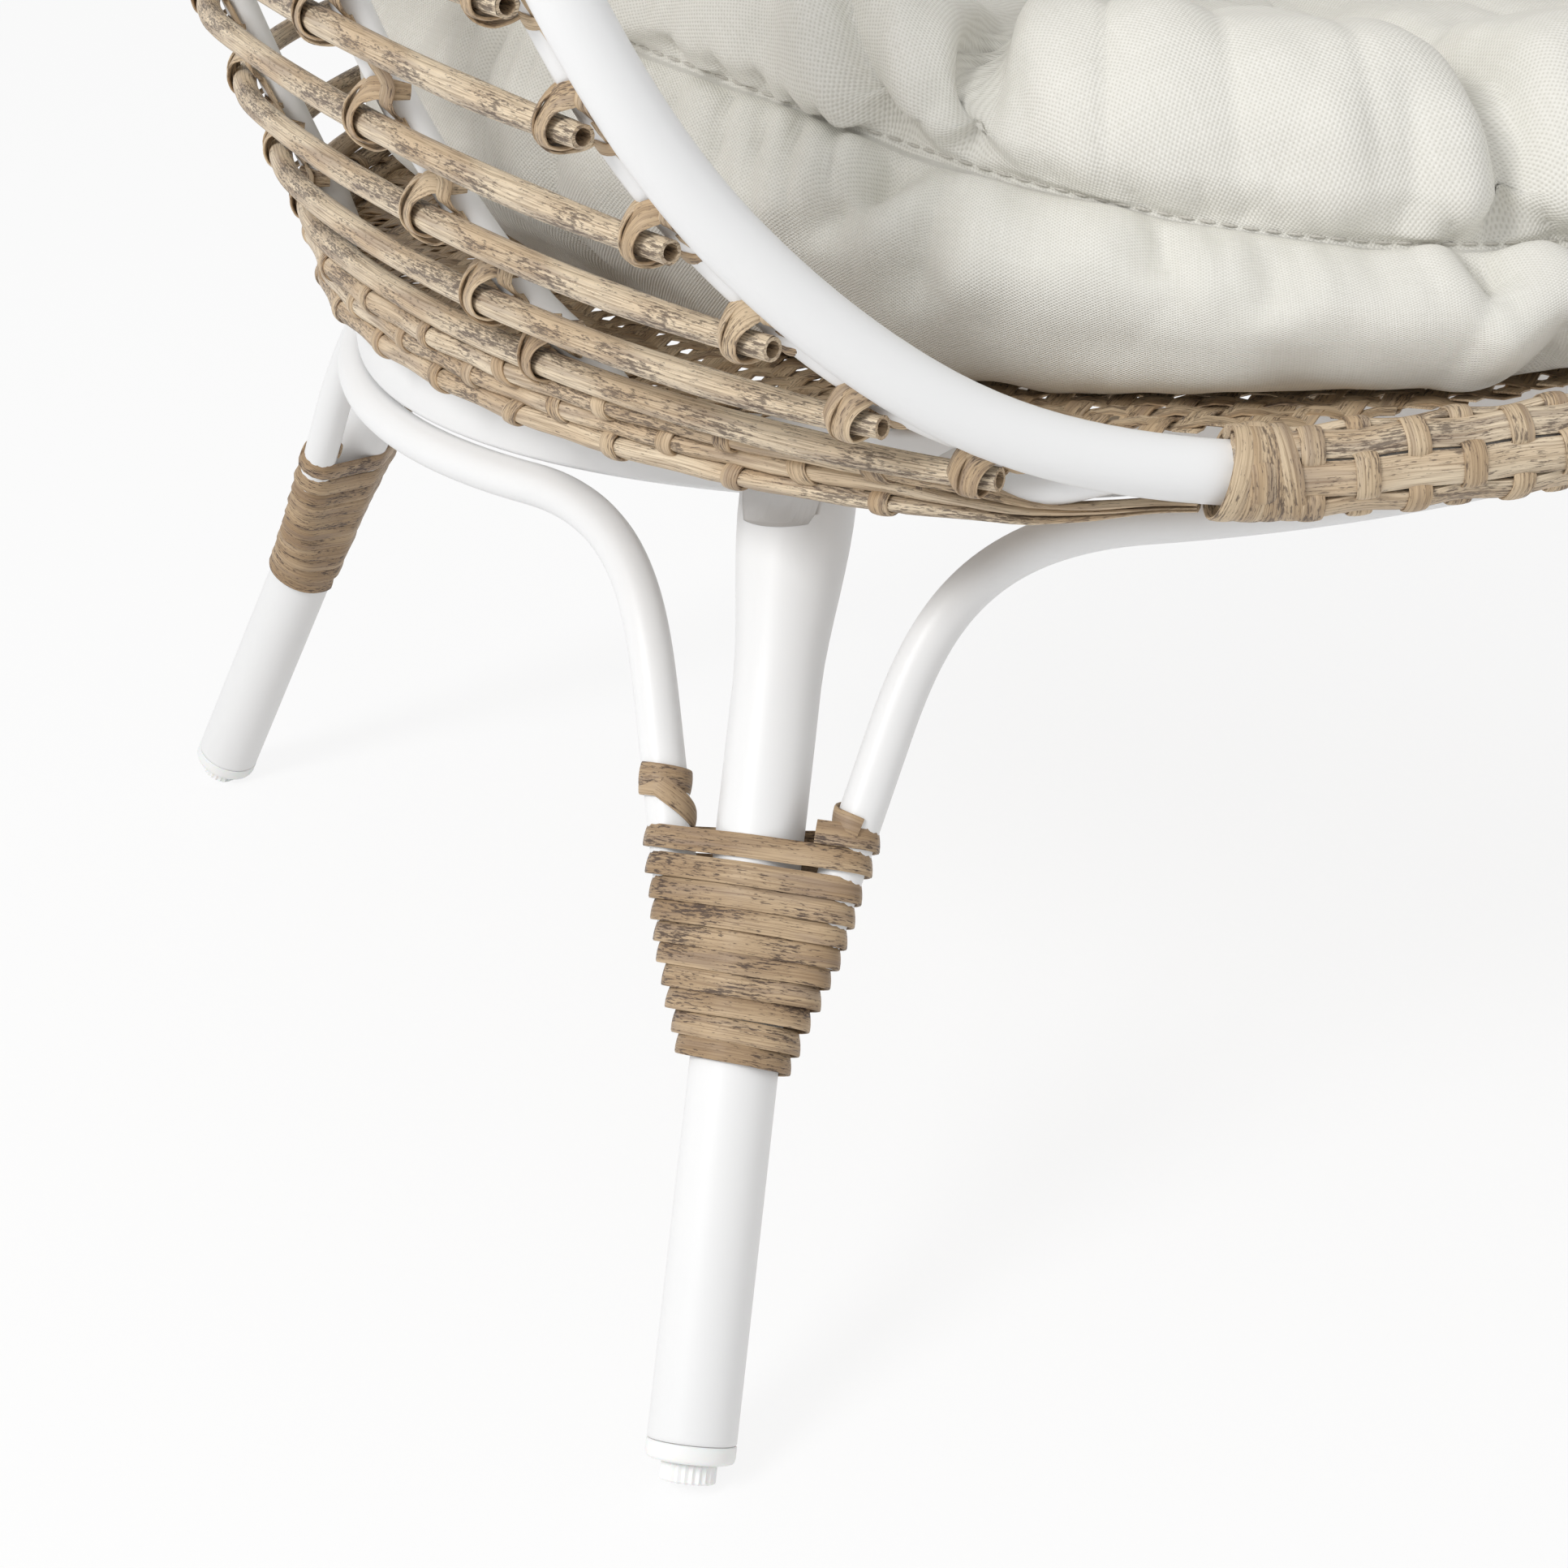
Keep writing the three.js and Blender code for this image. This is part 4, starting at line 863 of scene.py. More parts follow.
class LegAxis:
    """A leg's own frame: its foot, its lean, and points beside it."""

    def __init__(self, plan: FramePlan) -> None:
        """Works out the leg's foot, heading and lean from the plan."""
        self.plan = plan
        self.foot = polar(plan.leg_foot_radius, 45)[:2]
        run = self.foot - polar(plan.leg_top_radius, 45 - plan.leg_swing)[:2]
        self.heading = math.atan2(run[1], run[0])
        self.lean = math.atan(np.linalg.norm(run) / plan.ring_bottom)
        self.lift = plan.foot_radius * math.sin(self.lean) - plan.foot_flat
        self.length = (plan.ring_bottom - self.lift) / math.cos(self.lean)

    def matrix(self, leg: Leg) -> Array:
        """The leg's own frame, its Z up the leg and its Y to the side, as a 4x4 matrix."""
        across, along = leg.value
        turn = math.atan2(along * math.sin(self.heading), across * math.cos(self.heading))
        placed = Matrix.Translation((across * self.foot[0], along * self.foot[1], self.lift))
        return np.array(placed @ Matrix.Rotation(turn, 4, "Z") @ Matrix.Rotation(-self.lean, 4, "Y"))

    def beside(self, side: float, drop: float) -> Array:
        """A point beside the back right leg.

        Args:
            side: distance from the leg's axis.
            drop: distance down from its top.
        Returns:
            The point.
        """
        climbed = self.length - drop
        inward = climbed * math.sin(self.lean)
        return np.array([self.foot[0] - inward * math.cos(self.heading) + side * math.sin(self.heading),
                         self.foot[1] - inward * math.sin(self.heading) - side * math.cos(self.heading),
                         self.lift + climbed * math.cos(self.lean)])


def rounded_box_section(width: float, height: float, radius: float, steps: int = 4) -> Array:
    """A rectangle with rounded corners, as points."""
    points = []
    for corner, (sx, sy) in enumerate(((1, 1), (-1, 1), (-1, -1), (1, -1))):
        for i in range(steps + 1):
            angle = math.pi / 2 * (corner + i / steps)
            points.append((sx * (width / 2 - radius) + radius * math.cos(angle),
                           sy * (height / 2 - radius) + radius * math.sin(angle)))
    return np.array(points)


class WhiteFrame:
    """Builds the powder-coated tubes, the caps, the levelling feet and the bolts."""

    FLARE_RISE = 30.0
    DOME = (0.996, 0.985, 0.965, 0.93, 0.88, 0.82, 0.74, 0.64, 0.52, 0.38, 0.22, 0.06)
    SLEEVE = 12.0
    WELD_GAP = 0.05
    WELD_SLOPE = 1.5
    RING_STEPS = 180
    RING_CORNER = 3.2
    RAIL_CORNER = 2.5
    RIBS = 24
    RIB_DEPTH = 0.8
    FOOT_SIDES = 144
    THREAD_PITCH = 0.9
    TOP_LEVEL = 11.0
    BOLT = ((0.1, -4.0), (2.6, -3.8), (4.6, -3.0), (6.0, -1.8), (6.5, -0.7), (6.5, 0), (3, 0), (3, 20))
    WASHER = ((3.2, -0.9), (8.2, -0.9), (8.4, -0.6), (8.4, 0.0), (3.2, 0.0))

    def __init__(self, plan: FramePlan, shell: Shell, finishes: Finishes) -> None:
        """Keeps the plan, the shell that the rods follow, and the finishes."""
        self.plan, self.shell, self.finishes = plan, shell, finishes
        self.axis = LegAxis(plan)

    def build(self) -> None:
        """Makes every piece of the frame."""
        self._ring()
        self._legs()
        self._arches()
        self._bolts()
        self._rim()
        self._seat_frame()
        self._rods()

    def _piece(self, body: Body, name: str, *nodes: str, **options: float) -> None:
        """Builds a white piece that stands for the given nodes."""
        body.build(name, self.finishes.white, Slot.WHITE, replaces=nodes, **options)

    def _ring(self) -> None:
        """The rectangular tube that the legs carry."""
        plan = self.plan
        degrees = np.arange(self.RING_STEPS) * 360 / self.RING_STEPS
        path = polar(plan.ring_middle, degrees, plan.ring_bottom + plan.ring_height / 2)
        body = Body()
        body.sweep(path, rounded_box_section(plan.ring_width, plan.ring_height, self.RING_CORNER),
                   frames_along(path, True, np.tile(UP, (len(path), 1))), closed=True)
        self._piece(body, "ring_tube", "leg_ring")

    def _legs(self) -> None:
        """The legs with their end caps and levelling feet."""
        plan, axis = self.plan, self.axis
        cap_bottom = plan.foot_height + plan.foot_gap
        bottom = cap_bottom + plan.cap_show + plan.fit
        flare = axis.length - plan.flare_length
        top = axis.length + self.FLARE_RISE
        heights = np.concatenate([[bottom, bottom + 0.6], np.linspace(bottom + 2, flare, 6),
                                  np.linspace(flare, top, 12)[1:]])
        share = np.clip((heights - flare) / plan.flare_length, 0, 1)
        radii = plan.leg_radius + (plan.flare_radius - plan.leg_radius) * smooth(share) ** 0.9
        radii[0] -= 0.5
        radii = np.concatenate([radii, plan.flare_radius * np.array(self.DOME)])
        heights = np.concatenate([heights, np.full(len(self.DOME), top)])
        bore = plan.leg_radius - plan.leg_wall
        tube = Body()
        tube.lathe([(bore, bottom + self.SLEEVE), (bore, bottom), *zip(radii, heights)], 64)
        points = tube.points[0]
        points[:, 2] = np.minimum(points[:, 2], self._leg_top(points))
        cap, foot = self._cap(cap_bottom), self._foot()
        for leg in Leg:
            matrix = axis.matrix(leg)
            self._piece(tube.moved(matrix), f"leg_tube_{leg.label}", f"leg_{leg.label}", sharp=80)
            cap.moved(matrix).build(f"end_cap_{leg.label}", self.finishes.plastic, Slot.PLASTIC,
                                    replaces=(f"leg_cap_{leg.label}",))
            foot.moved(matrix).build(f"ribbed_foot_{leg.label}", self.finishes.plastic, Slot.PLASTIC,
                                     f"foot_{leg.label}", (f"levelling_foot_{leg.label}",), sharp=30)

    def _leg_top(self, points: Array) -> Array:
        """Heights of the leg's top: flat under the ring, and welded up onto the ring's outer face.

        Args:
            points: points of the leg in its own frame.
        Returns:
            The highest that each may stand, in the leg's frame.
        """
        plan, axis = self.plan, self.axis
        matrix = axis.matrix(Leg.BACK_RIGHT)
        lift = np.zeros(len(points))
        top = np.zeros(len(points))
        for _ in range(4):
            level = plan.ring_bottom - self.WELD_GAP + lift - axis.lift
            top = (level - points[:, 0] * math.sin(axis.lean)) / math.cos(axis.lean)
            placed = np.column_stack([points[:, :2], top]) @ matrix[:3, :3].T + matrix[:3, 3]
            out = np.hypot(placed[:, 0], placed[:, 1]) - plan.ring_radius
            lift = np.clip((plan.shoulder_out - out) * self.WELD_SLOPE, 0, plan.shoulder_rise)
            lift *= smooth((out + 3) / 3)
        return top

    def _cap(self, bottom: float) -> Body:
        """A moulded cap in the leg's end, in the leg's frame."""
        plan = self.plan
        top = bottom + plan.cap_show
        r = plan.leg_radius
        body = Body()
        body.lathe([(plan.stem_radius + 1.2, bottom + 1.5), (plan.stem_radius + 1.6, bottom + 0.2),
                    (r - 1.6, bottom), (r - 0.6, bottom + 0.4), (r - 0.1, bottom + 1.3),
                    (r + 0.15, bottom + 2.6), (r + 0.15, top - 0.3), (r - 0.3, top + 0.1),
                    (r - 2.0, top + 0.1), (r - 2.0, top + 9)], 64)
        return body

    def _foot(self) -> Body:
        """A ribbed pad on its threaded stem, in the leg's frame, with the flat that it stands on."""
        plan, axis = self.plan, self.axis
        sides, top = self.FOOT_SIDES, plan.foot_height
        angle = np.arange(sides) * 2 * math.pi / sides
        ribs = self.RIB_DEPTH * (0.5 - 0.5 * np.cos(angle * self.RIBS)) ** 0.7
        rows = [(0.0, 0.55), (0.25, 0.93), (0.9, 1.0), (top - 0.9, 1.0), (top - 0.2, 0.95), (top, 0.55)]
        rings = []
        for height, share in rows:
            radius = plan.foot_radius * share - ribs * (1 if share > 0.9 else 0)
            rings.append(level_path(radius * np.cos(angle), radius * np.sin(angle), height))
        points = np.concatenate(rings)
        level = (-axis.lift - points[:, 0] * math.sin(axis.lean)) / math.cos(axis.lean)
        points[:, 2] = np.maximum(points[:, 2], level + 0.02)
        body = Body()
        body.add(points, grid_faces(len(rows), sides), points)
        climb = np.arange(0, 26, 0.125)
        ridge = 0.35 * np.sin(climb * 2 * math.pi / self.THREAD_PITCH)
        body.tube(level_path(0.0, 0.0, top - 1 + climb * 1.1), plan.stem_radius - 0.1 + ridge, 16)
        return body

    def arch_path(self, side: int) -> Array:
        """Centre line of an arched rod.

        Args:
            side: 1 for the rod that crosses the X axis, -1 for the one that crosses the Y axis.
        Returns:
            Points from one leg to the next.
        """
        plan, axis = self.plan, self.axis
        height = plan.ring_bottom - plan.fit - plan.arch_radius
        leaves = 45 - plan.leg_swing - side * plan.arch_ring_angle
        middle = 0 if side > 0 else 90
        on = lambda degrees: polar(plan.leg_top_radius, degrees, height)
        start = axis.beside(side * (plan.leg_radius + plan.arch_radius + plan.fit), plan.end_drop)
        low, high = axis.beside(side * plan.bend_offset, plan.bend_drop), on(leaves)
        up, ahead = unit(low - start), unit(on(leaves - side) - high)
        knots = [low, low + up * plan.arch_handle, high - ahead * plan.ring_handle, high]
        t = np.linspace(0, 1, 40)[:, None]
        bend = sum(c * (1 - t) ** (3 - k) * t**k * knots[k] for k, c in enumerate((1, 3, 3, 1)))
        arc = on(leaves + (middle - leaves) * np.arange(1, 17) / 16)
        half = np.concatenate([start + (low - start) * np.linspace(0, 1, 8)[:-1, None], bend, arc])
        flip = np.array([1, -1, 1]) if side > 0 else np.array([-1, 1, 1])
        return np.concatenate([half, (half * flip)[::-1][1:]])

    def _arches(self) -> None:
        """The four arched rods under the ring."""
        for name, side, sign in (("right", 1, 1), ("left", 1, -1), ("back", -1, 1), ("front", -1, -1)):
            path = self.arch_path(side) * np.array([sign, sign, 1])
            body = Body()
            body.tube(path, self.plan.arch_radius, 28)
            self._piece(body, f"arch_tube_{name}", f"arch_rod_{name}")

    def _bolts(self) -> None:
        """A dome bolt and washer up through the ring beside each leg."""
        plan = self.plan
        x, y = plan.ring_middle * math.cos(plan.bolt_turn), plan.ring_middle * math.sin(plan.bolt_turn)
        body = Body()
        body.lathe(self.BOLT, 40)
        body.lathe(self.WASHER, 40)
        for leg in Leg:
            across, along = leg.value
            spot = np.array(Matrix.Translation((across * x, along * y, plan.ring_bottom - plan.fit)))
            body.moved(spot).build(f"dome_bolt_{leg.label}", self.finishes.steel, Slot.STEEL,
                                   replaces=(f"ring_bolt_{leg.label}",), sharp=30)

    def _rim(self) -> None:
        """The egg-shaped front hoop."""
        body = Body()
        body.tube(self.shell.rim.spaced(361)[:-1], self.plan.rim_radius, 32, closed=True)
        self._piece(body, "rim_hoop", "rim_tube")

    def hoop_point(self, place: Numbers) -> Array:
        """Points of the seat hoop's centre line."""
        points = self.shell.inside(0.0, place, self.plan.hoop_inset)
        points[:, 2] = self.plan.hoop_height
        return points

    def _seat_frame(self) -> None:
        """The seat hoop, its ends welded to the rim, and its two rails."""
        plan = self.plan
        weld = self.shell.rim_at(plan.hoop_weld)
        ring = self.hoop_point(np.linspace(-plan.hoop_end, plan.hoop_end, 140))
        body = Body()
        body.tube(np.concatenate([weld * [-1, 1, 1], ring, weld]), plan.hoop_radius, 20)
        y = plan.ring_middle * math.sin(plan.bolt_turn)
        height = plan.ring_top + plan.fit + plan.rail_size / 2
        for sign in (1, -1):
            span = ring[np.argmin(np.abs(ring[:, 1] - sign * y)), 0]
            half = abs(span) - 3
            path = level_path(np.linspace(-half, half, 12), sign * y, height)
            body.sweep(path, rounded_box_section(plan.rail_size, plan.rail_size, self.RAIL_CORNER),
                       frames_along(path, up=np.tile(UP, (len(path), 1))))
        self._piece(body, "seat_hoop_and_rails", "seat_frame")

    def rod_path(self, place: float | None, stop: float, top: float, side: int) -> Array:
        """Centre line of an upright rod, from the hoop to its weld on the rim.

        Args:
            place: its place round the shell, or None for an edge rod.
            stop: level at which it leaves the strands.
            top: distance of its weld from the middle.
            side: 1 for the right, -1 for the left.
        Returns:
            Points along the rod.
        """
        shell = self.shell
        levels = np.linspace(shell.rows[0], stop, 90)
        places = side * (shell.edge_place(levels) if place is None else np.full(90, place))
        foot_place = side * min(abs(places[0]) if place is None else place, shell.plan.edge_foot)
        foot = self.hoop_point(foot_place) + [0, 0, 3]
        level = np.array([self.TOP_LEVEL])
        if top > 0:
            level = solve([6.0], level, top, lambda value: shell.rim_at(value)[:, 0])
        weld = shell.rim_at(level) * [side, 1, 1]
        body = shell.inside(levels, places, shell.plan.rod_depth)
        return Spline(np.concatenate([foot, body, weld])).spaced(150)

    def rods(self) -> list:
        """Each upright rod's name, place, stop, top and side."""
        plan = self.shell.plan
        back, *pairs = zip(plan.rod_places, plan.rod_stops, plan.rod_tops)
        found = [("back_rod_middle", *back, 1)]
        for name, side in (("left", -1), ("right", 1)):
            for i, values in enumerate(pairs):
                found.append((f"upright_rod_{name}_{3 - i}", *values, side))
            found.append((f"edge_rod_{name}", None, plan.edge_stop, plan.edge_top, side))
        return found

    def _rods(self) -> None:
        """The seven upright rods and the two edge rods."""
        for name, *values in self.rods():
            body = Body()
            body.tube(self.rod_path(*values), self.plan.rod_radius, 20)
            self._piece(body, f"round_{name}", name)


# ---- lattice: strands, ties and rod straps


class Lattice:
    """Builds the round rattan strands, their ties at the rods and the straps beside the rods."""

    RADIUS = 5.5
    HIDDEN_ROWS = (17, 19)

    SHOWN_ROWS = 19
    SIDES = 14
    STEPS = 210
    MOUTH = 0.56
    END_TAPER = 0.80
    TAPER_STEPS = 9
    JITTER = 0.6
    STRAP = 1.1
    EDGE_TIE = 0.84

    def __init__(self, shell: Shell, white: WhiteFrame, finishes: Finishes, seed: int = 7) -> None:
        """Keeps the shell, the rods' builder and the finishes, and starts the random draws."""
        self.shell, self.white, self.finishes = shell, white, finishes
        self.random = np.random.default_rng(seed)

    def build(self) -> None:
        """Makes the strands row by row, then the ties and straps of each rod."""
        node = 0
        for row, level in enumerate(self.shell.rows):
            shown = row not in self.HIDDEN_ROWS and node < self.SHOWN_ROWS
            node += shown
            replaces = (f"strand_{node:02d}",) if shown else ()
            name = f"cane_{node:02d}" if shown else f"cane_between_{row:02d}"
            self._strand(level).build(name, self.finishes.cane, Slot.RATTAN, replaces=replaces)
        for name, place, stop, _, side in self.white.rods():
            self._ties(place, stop, side).build(f"ties_{name}", self.finishes.strap, Slot.RATTAN)

    def _strand(self, level: float) -> Body:
        """One hollow cane, its wall a little uneven and ragged at the ends, with a bore in each end."""
        sides, bore = self.SIDES, self.RADIUS * self.MOUTH
        end = self.shell.end_place(level)
        path = Spline(self.shell.at(level, np.linspace(-end, end, 190))).spaced(self.STEPS)
        step = np.arange(self.STEPS)
        radius = self.RADIUS * (1 + 0.02 * np.sin(step * 0.37 + level * 5) + 0.015 * np.sin(step * 0.11))
        taper = np.linspace(self.END_TAPER, 1.0, self.TAPER_STEPS)
        radius[:len(taper)] *= taper
        radius[-len(taper):] *= taper[::-1]
        section = round_section(sides)[None] * radius[:, None, None]
        for k in (0, -1):
            section[k] *= 1 + 0.05 * self.random.standard_normal(sides)[:, None]
        body = Body()
        body.sweep(path, section, frames_along(path), caps=False)
        lip = round_section(sides)
        for way in (path[4::-1], path[-5:]):
            axes = frames_along(way)
            body.sweep(way, round_section(sides, bore), axes, caps=False)
            ring = lip[:, :1] * axes[0][-1] + lip[:, 1:] * axes[1][-1]
            rings = np.concatenate([way[-1] + ring * r for r in (bore, self.RADIUS * self.END_TAPER)])
            body.add(rings, grid_faces(2, sides, caps=False), rings)
        return body

    def _crossing(self, level: float, place: float, side: int) -> tuple:
        """The local frame of a crossing of strand and rod.

        Args:
            level: the strand's level.
            place: the rod's place on it.
            side: 1 where the rim is on the right, -1 on the left.
        Returns:
            Its middle, then the directions along the strand to the rim, up the rod and outwards.
        """
        step = 0.004
        point = self.shell.at(level, place)[0]
        normal = self.shell.normal(level, place)[0]
        ahead = self.shell.at(level, place + side * step)[0] - self.shell.at(level, place - side * step)[0]
        along = unit(ahead - normal * np.dot(ahead, normal))
        up = np.cross(normal, along)
        if np.dot(up, self.shell.at(level + 0.05, place)[0] - point) < 0:
            up = -up
        return point, along, up, normal

    def _ties(self, place: float | None, stop: float, side: int) -> Body:
        """The ties of one rod at every strand that it crosses, and the straps beside it between them."""
        body = Body()
        rows = [level for level in self.shell.rows if level < stop - 0.05]
        crossings = []
        for level in rows:
            at = float(self.shell.edge_place(level)[0]) if place is None else place
            crossings.append(self._crossing(level, side * at, side))
        for crossing in crossings:
            self._tie(body, crossing, self.EDGE_TIE if place is None else 1.0)
        for lower, upper in zip(crossings, crossings[1:]):
            self._rod_strap(body, lower, upper)
        return body

    @staticmethod
    def _world(crossing: tuple, controls: Array) -> Array:
        """Points given in a crossing's frame, moved to where it is."""
        return crossing[0] + Lattice._turned(crossing, controls)

    @staticmethod
    def _turned(crossing: tuple, directions: Array) -> Array:
        """Directions given in a crossing's frame, turned to the way it faces."""
        _, along, up, normal = crossing
        return directions[:, :1] * along + directions[:, 1:2] * up + directions[:, 2:3] * normal

    def _ribbon(self, body: Body, crossing: tuple, controls: list, facings: list, width: list,
                count: int) -> None:
        """A strap at a crossing.

        Args:
            body: the body that it is added to.
            crossing: the crossing's frame.
            controls: points of its middle, in that frame.
            facings: the ways that its face looks at them.
            width: widths from its start to its end.
            count: steps along it.
        """
        share = np.linspace(0, 1, count)
        path = Spline(self._world(crossing, np.array(controls, float))).at(share)
        facing = Spline(self._turned(crossing, np.array(facings, float))).at(share)
        widths = np.interp(share, np.linspace(0, 1, len(width)), width)
        body.strap(path, unit(facing), widths, self.STRAP)

    def _tie(self, body: Body, crossing: tuple, size: float) -> None:
        """Three straps at a crossing: a loop beside the rod, one across it, and one tucked down behind."""
        j0, j1, j2 = self.random.normal(0, self.JITTER, 3)
        point, along, up, normal = crossing
        crossing = (point, along * size, up * size, normal)
        self._ribbon(body, crossing,
                     [(3, 14 + j0, -14), (-3, 15.5 + j0, -9), (-9, 13.5, -4), (-13.5 + j1, 7, 2.2),
                      (-15 + j1, 0, 4.0), (-12.5, -7, 3.0), (-8, -11.5 + j2, -1), (-1, -11, -5.5),
                      (5, -7, -11)],
                     [(0, 0.8, 0.6), (-0.5, 0.8, 0.7), (-0.8, 0.5, 0.7), (-0.9, 0.2, 0.7),
                      (-0.9, -0.1, 0.7), (-0.7, -0.6, 0.6), (-0.4, -1, 0.4), (0, -1, 0.1),
                      (0.2, -1, -0.4)],
                     [1.5, 3.5, 6.0, 8.0, 9.0, 8.6, 7, 5.5, 4], 30)
        self._ribbon(body, crossing,
                     [(10, 8, -16), (9.4, 12, -10), (4.5, 14.5 + j0, -5.6), (-1.5, 12.5, -2.6),
                      (-5.6, 8.6, 2.4), (-7.6, 3.4, 6.0), (-8.0, -2.2, 6.6), (-6.8, -6.6, 3.0),
                      (-4.5, -7.8, -3), (-1, -6, -8)],
                     [(1, 0.3, 0.1), (0.7, 0.5, 0.7), (0.1, 0.5, 1), (-0.3, 0.6, 1),
                      (-0.35, 0.8, 0.9), (-0.2, 0.5, 1), (-0.1, -0.35, 1), (0, -1, 0.45),
                      (0, -1, -0.2), (0, -0.6, -0.8)],
                     [6, 8, 9, 9, 9, 9, 8.8, 8.4, 7.5, 6], 32)
        self._ribbon(body, crossing,
                     [(-8, -8, -16), (-4, -10.5, -10), (2, -11.5, -6.6), (9, -12.5, -7), (15, -14, -12)],
                     [(-1, -0.2, 0), (-0.5, -0.2, 1), (0, -0.1, 1), (0.4, -0.1, 1), (1, 0, 0.1)],
                     [6, 7.5, 7, 5, 2.5], 14)

    def _rod_strap(self, body: Body, lower: tuple, upper: tuple) -> None:
        """The strap that runs down beside a rod from one crossing to the next."""
        start = self._world(upper, np.array([(7.5, 0, -8.2), (8.6, -8, -9.0)]))
        end = self._world(lower, np.array([(10.2, 15, -9), (8.6, 8.4, -5.6), (8.2, 4.4, -6.4),
                                           (8.0, 0, -8.2)]))
        middle = (start[-1] + end[0]) / 2 + (lower[1] + upper[1]) * 0.5
        controls = np.concatenate([start, [middle], end])
        turned = [upper[3] + 0.4 * upper[1]] * 2 + [lower[3] + 0.9 * lower[1]] + [
            lower[3] + 0.7 * lower[1], lower[3] + 0.4 * lower[1] + 0.3 * lower[2],
            lower[3] + 0.3 * lower[2], lower[3]]
        share = np.linspace(0, 1, 24)
        path = Spline(controls).at(share)
        facing = unit(Spline(np.array(turned)).at(share))
        widths = np.interp(share, [0, 0.3, 0.6, 0.85, 1], [6.5, 6, 6.6, 8.6, 7])
        body.strap(path, facing, widths, self.STRAP)


# ---- woven base and leg bindings


class WovenBase:
    """Builds the three-row base band, the sleeve on the rim's front and the woven seat tray."""

    ROWS = 3
    BAND_TOP = 397.4
    BAND_BOTTOM = 366.0
    FRONT_TOP = 378.0
    BAND_OUT = 4.0
    BAND_LEAN = 0.25
    BAND_DROP = 5.0
    ROW_DEPTH = 4.3
    BAND_END = 1.0
    LIP_HALF = 176.0
    LIP_ROWS = (58, 4, -50, -104, -158, 112)
    TRAY_HALF = 357.0
    TRAY_FRONT = 452.0
    TRAY_POWER = 2.3
    TRAY_HEIGHT = 384.6

    BAND_STEPS = 260
    BAND_PITCH = 33.0
    TUCK = 0.8
    WRAP_END = 0.9
    STRAP_WIDTH = 8.6
    LIP_STATIONS = 20
    LIP_RADIUS = 13.4
    LIP_SECTION = (6.3, 2.7)
    LIP_OUT = 17.0
    BUNDLE = 4
    BUNDLE_OUT = 16.2
    BUNDLE_SLANT = 0.12
    TRAY_TURN = 38
    TRAY_PITCH = 12.0
    TRAY_WIDTH = 9.6
    TRAY_THICKNESS = 0.7
    LOOP_PITCH = 10.2
    LOOP_SLANT = 15.0
    LOOP_OUT, LOOP_SWELL, LOOP_UP = 11.2, 2.2, 9.4

    def __init__(self, shell: Shell, white: WhiteFrame, finishes: Finishes, seed: int = 11) -> None:
        """Keeps the shell, the hoop's builder and the finishes, and starts the random draws."""
        self.shell, self.white, self.finishes = shell, white, finishes
        self.random = np.random.default_rng(seed)

    def build(self) -> None:
        """Makes the band, the sleeve and the tray."""
        self._band()
        self._lip()
        self._tray()

    def band_point(self, place: Numbers, share: Numbers, out: Numbers) -> tuple:
        """Points of the band, which runs on under the rim at its ends.

        Args:
            place: places round the shell.
            share: height on the band, from 0 to 1.
            out: distance out from the band's middle.
        Returns:
            The points, their outward directions and the height of one row.
        """
        shell = self.shell
        place = np.atleast_1d(place).astype(float)
        base = shell.at(0.0, place)
        normal = shell.base_normal(place)
        fall = shell.front_share(place) ** shell.plan.rise_power
        top = self.BAND_TOP + (self.FRONT_TOP - self.BAND_TOP) * fall
        # Towards its ends the band narrows, draws in under the rim and rises to the sleeve.
        under = smooth((np.abs(place) - 0.86) / 0.12)
        rise = 8 * smooth((np.abs(place) - 0.93) / 0.07)
        top = top - 15 * under + rise
        out = out - 9 * under
        bottom = self.BAND_BOTTOM - self.BAND_DROP * fall - 2 * under + rise
        height = bottom + (top - bottom) * share
        lean = np.maximum(height - base[:, 2], 0) * self.BAND_LEAN
        points = base + normal * (self.BAND_OUT + lean + out)[:, None]
        points[:, 2] = height
        return points, normal, (top - bottom) / self.ROWS

    def _band(self) -> None:
        """The band's rows, which weave in and out, and the straps over every other one of them."""
        places = np.linspace(-self.BAND_END, self.BAND_END, self.BAND_STEPS)
        middle, _, _ = self.band_point(places, 0.5, 0.0)
        walked = travelled(middle)
        count = int(walked[-1] // self.BAND_PITCH)
        stations = np.interp((np.arange(count) + 0.5) * walked[-1] / count, walked, places)
        rows, straps = Body(), Body()
        for row in range(self.ROWS):
            share = (row + 0.5) / self.ROWS
            phase = np.interp(places, stations, np.arange(count)) + row
            out = self._row_out(row) - self.TUCK * np.cos(np.pi * phase)
            points, normal, height = self.band_point(places, share, out)
            half = height * 0.5 + 0.15 - 0.9 * np.maximum(-np.cos(np.pi * phase), 0) ** 4
            size = np.stack([half, np.full(len(half), self.ROW_DEPTH)], axis=1)
            rows.sweep(points, round_section(16)[None] * size[:, None], frames_along(points, up=normal))
        rows.build("base_rows", self.finishes.cane, Slot.RATTAN, replaces=("base_band",))
        for index, place in enumerate(stations):
            for row in range(self.ROWS):
                if (row + index) % 2 == 1 and abs(place) < self.WRAP_END:
                    self._band_wrap(straps, place, row)
        straps.build("base_straps", self.finishes.strap, Slot.RATTAN)

    def _row_out(self, row: int) -> float:
        """How far a row stands out: the top row is round and stands out most."""
        return 0.8 if row == self.ROWS - 1 else 0.0

